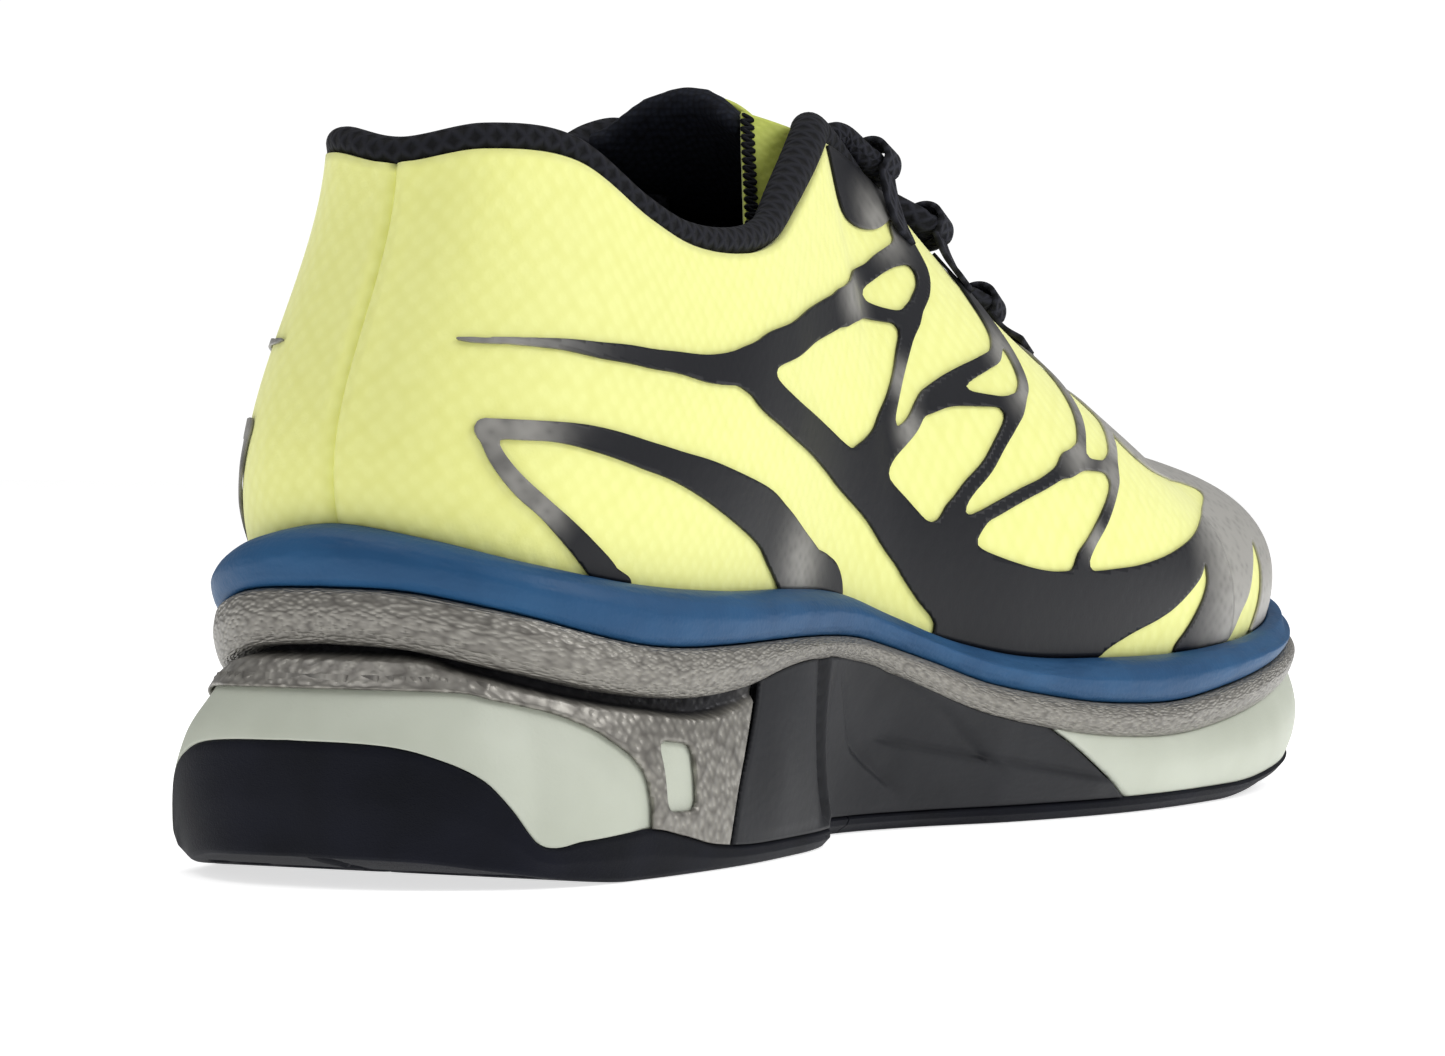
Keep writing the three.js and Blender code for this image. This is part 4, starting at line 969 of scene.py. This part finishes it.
def rubber_piece(name, start, end, grooves, columns):
    def place(a, b):
        s = start + (end - start) * a
        side = np.where(b < .5, -1, 1)
        half = np.minimum(b, 1 - b)
        top, low, foot = rubber_top(s), ground(s), ground_out(s)
        rim_out, zero = rubber_top_out(s), 0 * s
        outs = np.stack([rim_out - 3, rim_out - 3, rim_out - .7, rim_out, (rim_out + foot) / 2 + .5,
                         foot + .1, foot - .5, foot - 2, foot - 2])
        heights = np.stack([low + 3.2, low + 3.2, top, top - .6, (top + low) / 2, low + .7, low + .1,
                            low, low])
        inward = np.stack([zero + 1, zero, zero, zero, zero, zero, zero, zero + .04, zero + 1])
        at = np.interp(half, SECTION_SHARES, range(9))
        out, z, c = (through(table, at) for table in (outs, heights, inward))
        p, q = wall(side * s, out, z), wall(-side * s, out, z)
        p = p * (1 - c / 2)[:, None] + q * (c / 2)[:, None]
        sole = (at > 6.5) * soft(c, .03, .08)
        p[:, 2] += sole * tread(p[:, 0], p[:, 1], grooves)
        return p
    bm = bent(columns, 180, place, closed=True)
    bmesh.ops.holes_fill(bm, edges=[e for e in bm.edges if e.is_boundary], sides=0)
    bmesh.ops.recalc_face_normals(bm, faces=bm.faces)
    return piece(name, bm, rubber, [name.replace("_tread", "")])


rubber = skinned_foam("moulded navy-black rubber", "#0A0C13", "#12141E", .9, .12, .6, .1)
rubber_piece("outsole_heel_tread", 0, RUBBER_SPLIT - RUBBER_GAP, HEEL_TREAD, 150)
rubber_piece("outsole_forefoot_tread", RUBBER_SPLIT + RUBBER_GAP, 1, FORE_TREAD, 200)

# %% [markdown]
# ## Inside: lining, insole, tongue
# Pads are closed crowned shapes. `cushion` bends a loop section along the pad: w runs across it and
# d through its thickness, both from -1 to 1, and the ends close.

# %% Pads
def cushion(columns, around, place, sharp=.45, close=.06):
    def bend(a, b):
        turn = 2 * np.pi * b
        w, d = (np.sign(f) * np.abs(f)**sharp for f in (np.cos(turn), np.sin(turn)))
        end = np.clip((np.abs(2 * a - 1) - (1 - close)) / close, 0, 1)
        return place(a, w, d * np.sqrt(1 - end**2))
    return bent(columns, around, bend, closed=True)


# Steps of the cloth simulation.
FRAMES = 14


def plump(pad, voxel, pressure, cap):
    """Let cloth pressure fill a pad: remesh, blow up, cap the move, smooth once."""
    remesh = pad.modifiers.new("remesh", "REMESH")
    remesh.mode, remesh.voxel_size = "VOXEL", voxel / 1000
    settle(pad)
    rest = np.array([v.co for v in pad.data.vertices])
    cloth = pad.modifiers.new("cloth", "CLOTH")
    cloth.settings.use_pressure = True
    cloth.settings.uniform_pressure_force = pressure
    cloth.settings.effector_weights.gravity = 0
    cloth.settings.quality = 4
    scene = bpy.context.scene
    scene.frame_start, scene.frame_end = 1, FRAMES
    for step in range(1, FRAMES + 1):
        scene.frame_set(step)
    settle(pad)
    moved = np.array([v.co for v in pad.data.vertices]) - rest
    length = np.linalg.norm(moved, axis=1, keepdims=True)
    moved *= np.minimum(1, cap / 1000 / np.maximum(length, 1e-9))
    print(pad.name, "plumped by up to", round(1000 * float(np.abs(moved).max()), 2), "mm")
    pad.data.vertices.foreach_set("co", (rest + moved).ravel())
    scene.frame_set(1)
    pad.data.polygons.foreach_set("use_smooth", [True] * len(pad.data.polygons))
    round_off = pad.modifiers.new("subdivision", "SUBSURF")
    round_off.levels = round_off.render_levels = 1
    return pad


def settle(thing):
    """Keep the evaluated mesh and drop the modifiers."""
    result = bpy.data.meshes.new_from_object(thing.evaluated_get(bpy.context.evaluated_depsgraph_get()))
    thing.modifiers.clear()
    old, thing.data = thing.data, result
    bpy.data.meshes.remove(old)


# %% [markdown]
# Textiles inside are black spacer mesh: knitted cells about a millimetre wide over foam, which give
# the eye small dark pits with a soft sheen between them.

# %% Collar lining
lining_depth = value([[0, 1], [.3, 1], [.38, .9], [.45, .72], [.5, .55], [1, .5]])
LINING_FACE, LINING, LINING_END = -4.6, 4.6, .56


def lining_point(a, w, d):
    u = LINING_END * (1 - 2 * a)
    t = .66 + .31 * w
    crown = .55 + .45 * np.sin(np.pi * np.clip(.62 + .5 * w, 0, 1))
    depth = LINING * lining_depth(np.abs(u)) * crown
    return skin(u, t, LINING_FACE - depth * (.5 + .5 * d))


lining = piece("collar_pad", cushion(260, 56, lining_point), spacer, ["collar_lining"])
plump(lining, 1.6, 3, .9)

# %% Insole
def across(s, w, out, z):
    p, q = wall(-s, out, z), wall(s, out, z)
    return p * ((1 - w) / 2)[:, None] + q * ((1 + w) / 2)[:, None]


BED_OUT, BED_LOW, INSOLE = -7.8, 2.4, 4.2


def insole_point(a, w, d):
    s = .02 + .96 * a
    rise = .8 * w**4
    return across(s, w, BED_OUT + 0 * s, cup_floor(s) + BED_LOW + INSOLE * (.5 + .5 * d) + rise)


bed = piece("insole_pad", cushion(200, 60, insole_point, sharp=.35, close=.03), spacer, ["insole"],
            body="insole")

# %% Tongue
BRIDGE, TUCK, ARCH, TONGUE_DEPTH, TONGUE = .6, 2 / 6, 2.5, 2.7, 6
near_mark = [marks[np.abs(marks - s).argmin()] for s in (.55, .8)]
TONGUE_BEND, TONGUE_TOE_END = near_mark


def tongue_point(s, w, depth):
    s, w, depth = np.broadcast_arrays(*[np.asarray(v, float) for v in (s, w, depth)])
    side, away = np.where(w < 0, -1, 1), np.abs(w)
    tucked = skin(side * s, 1 - TUCK * np.clip(away - BRIDGE, 0, 1) / (1 - BRIDGE), -depth)
    a, b = skin(-s, 1, -depth), skin(s, 1, -depth)
    middle = (a + b) / 2 + UP * 2 * ARCH
    k = np.clip(.5 + w / (2 * BRIDGE), 0, 1)[..., None]
    arch = (1 - k)**2 * a + 2 * (1 - k) * k * middle + k**2 * b
    return np.where((away > BRIDGE)[..., None], tucked, arch)


def tongue_base_point(a, w, d):
    s = TONGUE_TOE_END + (TONGUE_BEND + .004 - TONGUE_TOE_END) * a
    return tongue_point(s, w, TONGUE_DEPTH + .2 + (TONGUE - .4) * (.5 - .5 * d))


base = piece("tongue_pad", cushion(90, 72, tongue_base_point), spacer, ["tongue_base"])

# %% [markdown]
# The free top of the tongue leans back to the ankle and curls round it, so its edges stand further
# back than its middle and it widens above the collar. Its inside is black mesh; its outer face is a
# strip of lime knit. On the inner side a lime wing runs from its edge down into the collar, joined by
# a zigzag stitch.

# %% Tongue top
RISE = np.array([[-.6, .3], [-13, 5.5], [-23, 17.5]])
FLARE, CURL, HALF_WIDTH, DRIFT, OUTER_EDGE = 1.5, 6.5, 11, 4, 1.6


def tongue_rise(w, v, depth):
    v = np.clip(v, 0, 1.0)
    bend = np.full(np.shape(w), TONGUE_BEND)
    half = w * HALF_WIDTH / top_edge(np.array(TONGUE_BEND))[1]
    foot = tongue_point(bend, half * BRIDGE, TONGUE_DEPTH)
    bow = np.minimum(w * w, 1.25)
    reach = (v * (1 - .2 * bow))[..., None]
    a, b, c = RISE
    line = (1 - reach)**2 * a + 2 * (1 - reach) * reach * b + reach**2 * c
    way = unit(2 * (1 - reach) * (b - a) + 2 * reach * (c - b))
    x = line[..., 0] - way[..., 1] * depth - CURL * bow * soft(v, .1, .9)
    z = line[..., 1] + way[..., 0] * depth
    return foot + np.stack([x - 3 * v**2, w * FLARE * soft(v, .25, 1) + DRIFT * v**2, z + .8 * v**2], -1)


def tongue_top_point(a, w, d):
    return tongue_rise(w * np.where(w > 0, OUTER_EDGE, 1), .02 + .98 * a, .2 + (TONGUE - .6) * (.5 - .5 * d))


top = piece("tongue_top_pad", cushion(60, 72, tongue_top_point, close=.12), spacer, ["tongue_top"],
            body="tongue_tip")
plump(top, 1.4, 3, .7)
lime = knit_finish("lime polyester knit", "#B7C440", "#CDD75A", 1.4)


def face_point(a, b):
    return tongue_rise(1.5 - 2.4 * b, .04 + .82 * a, -1.2)


piece("tongue_face_knit", bent(40, 80, face_point, uv=lambda a, b: (a * 30, b * 30)), lime,
             ["tongue_face"], body="tongue_tip", thick=.9)
WING = np.array([[[118.3, -8.3, 116.6], [107, -15.5, 96.5]], [[128, -15.5, 113], [126, -17.5, 94]]])


def wing_point(a, b, off=0.0):
    """The lime wing from the tongue's inner edge, a = 0, down into the collar, a = 1."""
    a, b = a[:, None], b[:, None]
    flat = (1 - a) * ((1 - b) * WING[0, 0] + b * WING[0, 1]) + a * ((1 - b) * WING[1, 0] + b * WING[1, 1])
    return flat + np.array([-.6, -.8, 0]) * (np.sin(np.pi * a) + off)


piece("tongue_wing_knit", bent(30, 40, wing_point, uv=lambda a, b: (a * 14, b * 24)), lime,
             body="tongue_tip", thick=-.9)

# %% [markdown]
# ## Collar binding and lacing
# Round goods are a section carried along a path. `tube` starts as a grid too: one way runs along the
# path, the other round the section, and both ends close to a dome.

# %% Tubes
def path_curve(points):
    points = np.array(points, float)
    step = np.sqrt(np.linalg.norm(np.diff(points, axis=0), axis=1))
    at = np.concatenate([[0], np.cumsum(step)])
    keys = curve(np.column_stack([at / at[-1], points]))
    return keys


def tube(points, wide, high, reference, columns, around=20, cap=.02):
    """A closed tube along a path; wide and high are half sizes, numbers or functions of the share."""
    path = path_curve(points)
    length = np.linalg.norm(np.diff(path(np.linspace(0, 1, 400)), axis=0), axis=1).sum()

    def place(a, b):
        spot, step = path(a), 1e-3
        way = unit(path(np.clip(a + step, 0, 1)) - path(np.clip(a - step, 0, 1)))
        side = unit(np.cross(way, reference))
        up = np.cross(side, way)
        turn = 2 * np.pi * b
        end = np.clip((np.abs(2 * a - 1) - (1 - cap)) / cap, 0, 1)
        size = np.sqrt(np.clip(1 - end**2, 0, 1))
        half_wide, half_high = (f(a) if callable(f) else f for f in (wide, high))
        return (spot + side * (half_wide * size * np.cos(turn))[:, None]
                + up * (half_high * size * np.sin(turn))[:, None])
    return bent(columns, around, place, uv=lambda a, b: (a * length, b * 12), closed=True)


# %% [markdown]
# The binding is a rolled strip of ribbed knit round the collar's edge. It thickens towards the two
# front peaks, where foam is rolled in with it, and dives down in front of them.

# %% Binding
def ribbed(name, dark, light, pitch, depth):
    look, tree, shader = material(name, Roughness=.85)
    shader.inputs["Specular IOR Level"].default_value = .25
    place = add(tree, "TexCoord")
    laid = add(tree, "Mapping", {"Vector": place.outputs["UV"], "Scale": [1000 / pitch] * 3})
    one = add(tree, "TexWave", {"Vector": laid.outputs["Vector"], "Scale": .32, "Distortion": 1.2},
              wave_type="BANDS", bands_direction="DIAGONAL")
    turned = add(tree, "Mapping", {"Vector": laid.outputs["Vector"], "Rotation": (0, 0, math.pi / 2)})
    two = add(tree, "TexWave", {"Vector": turned.outputs["Vector"], "Scale": .32, "Distortion": 1.2},
              wave_type="BANDS", bands_direction="DIAGONAL")
    braid = add(tree, "Math", {0: one.outputs["Fac"], 1: two.outputs["Fac"]}, operation="MAXIMUM")
    under = relief(tree, shader, braid.outputs[0], depth, strength=.8)
    relief(tree, shader, grain(tree, .5).outputs["Fac"], .1, under, strength=.5)
    two_tone(tree, shader, braid.outputs[0], dark, light, (.35, 1))
    return look


rib_knit = ribbed("black ribbed knit tape", "#08090D", "#1C1D24", 1.5, .4)
BINDING_END = .53
binding_radius = value([[0, 2.2], [.2, 2.1], [.3, 2.3], [.37, 2.9], [.43, 3.1], [.475, 2.8], [.51, 2.2],
                        [.53, 1.8]])
binding_drop = value([[0, 0], [.47, 0], [.5, -.8], [.53, -2.4]])


def binding_path():
    u = np.linspace(-BINDING_END, BINDING_END, 121)
    r = binding_radius(np.abs(u))
    out = -(r + .1)
    lift = 1.8 + (r - 2.2) * .5 + binding_drop(np.abs(u))
    return top_edge(u) + outward(u) * out[:, None] + UP * lift[:, None]


def binding_size(a):
    return binding_radius(np.abs(BINDING_END * (2 * a - 1)))


piece("collar_roll", tube(binding_path(), binding_size, binding_size, UP, 420, 28, .01),
                rib_knit, ["collar_binding"])

# %% [markdown]
# One round braided lace runs criss-cross through four pairs of webbing loops. Each loop is a strip
# of tape that rises from the film, passes over the lace and dives under the throat's edge.

# %% Lace route
LACE_R, LOOP_WALL, LOOP_WIDTH = 2.0, .9, 4.5
LOOP_PLACES = [.54, .6, .67, .74]
LOOP_BORE = LACE_R + .6
LOOP_STAND = LOOP_BORE + LOOP_WALL + 2 * GAP


def loop_centre(u):
    u = np.array(u)
    return top_edge(u) + UP * LOOP_STAND - outward(u)


def to_toe(u):
    side = math.copysign(1, u)
    return unit(top_edge(np.array(side * (abs(u) + .01))) - top_edge(np.array(side * (abs(u) - .01))))


def through_loop(u):
    half = LOOP_WIDTH / 2 + .8
    return [loop_centre(u) + to_toe(u) * d for d in (-half, 0, half)]


def crossing(s, over):
    rise = LACE_R + 2 * GAP + (2 * LACE_R + 2 * GAP if over else 0)
    return tongue_point(s, 0, TONGUE_DEPTH) + UP * rise * 1.15


def tucked(side):
    return [np.array([x, side * y, z]) for x, y, z in (
        (129.5, 14.6, 80), (129.5, 14.6, 92), (130, 14.7, 102), (132, 15.2, 110.5), (136, 16.6, 113.5))]


down, rise_again = [], []
for i, s in enumerate(LOOP_PLACES):
    side = 1 if i % 2 else -1
    down += through_loop(side * s)
    rise_again += through_loop(-side * s)
    if i + 1 < len(LOOP_PLACES):
        half = (s + LOOP_PLACES[i + 1]) / 2
        down.append(crossing(half, False))
        rise_again.append(crossing(half, True))
bottom = tongue_point(LOOP_PLACES[-1] + .014, 0, TONGUE_DEPTH) + UP * (LACE_R + 3 * GAP)
route = [*tucked(-1), *down, bottom, *rise_again[::-1], *tucked(1)[::-1]]
braid = ribbed("black braided polyester lace", "#0A0B10", "#22232B", 1.3, .45)
piece("lace", tube(route, 2.7, 2.0, (-.5, 0, .87), 900, 18, .004), braid, ["shoelace"])


# %% Loops
def loop_piece(name, u):
    centre, way, n = loop_centre(u), to_toe(u), outward(np.array(u))
    side = unit(n - way * (n @ way))
    up = unit(np.cross(way, side)) * (1 if np.cross(way, side)[2] > 0 else -1)
    r = LOOP_BORE + .75
    arc = [centre + side * r * math.cos(t) + up * r * math.sin(t) for t in np.linspace(-.5, math.pi + .3, 11)]
    tails = [skin(u, .86, .9), skin(u, .93, 1.0)]
    path = path_curve([*tails, *arc])

    def place(a, b):
        return path(a) + way * ((b - .5) * LOOP_WIDTH * (1 + .25 * (1 - soft(a, 0, .3))))[:, None]
    return piece(name, bent(48, 8, place, uv=lambda a, b: (a * 22, b * LOOP_WIDTH)), webbing,
                 [name.replace("loop_", "lace_loop_")], thick=LOOP_WALL)


webbing = ribbed("black polyamide webbing", "#101117", "#2A2B33", 1.2, .35)
for i, s in enumerate(LOOP_PLACES):
    loop_piece(f"loop_medial_{i + 1}", -s)
    loop_piece(f"loop_lateral_{i + 1}", s)

# %% Zigzag stitch on the tongue
TEETH = 31


def zigzag(side):
    a = np.linspace(0, 1, TEETH)
    flip = np.where(np.arange(TEETH) % 2, 1, -1)
    if side < 0:
        return wing_point(.05 + .07 * flip, .02 + .96 * a, .5)
    return tongue_rise(OUTER_EDGE + .09 * flip - .08, .14 + .8 * a, -.5 + 1.1 * (flip < 0))


thread = ribbed("black polyester thread", "#0B0C12", "#1B1C22", .8, .1)
for side, name in ((-1, "medial"), (1, "lateral")):
    piece(f"zigzag_{name}", tube(zigzag(side), .38, .38, (.3, .2, .9), 480, 8), thread,
          body="tongue_tip")

# %% [markdown]
# ## Hidden pieces
# The board, the counter, the puff and the lace tips keep their CAD shapes and get real finishes.

# %% CAD pieces
def dress(node, look):
    thing = bpy.data.objects[node]
    thing.data.materials.clear()
    thing.data.materials.append(look)


dress("strobel_board", textile("needled polyester board", "#B9B4A6", "#D8D4C8", 1.4, .15))
for node in ("heel_counter", "toe_puff"):
    dress(node, fleece)
tip, tree, shader = material("clear-coated acetate lace tip", Roughness=.25)
relief(tree, shader, grain(tree, 2).outputs["Fac"], .05)
two_tone(tree, shader, grain(tree, 3).outputs["Fac"], "#17171B", "#222227")
for node in ("aglet_medial", "aglet_lateral"):
    dress(node, tip)
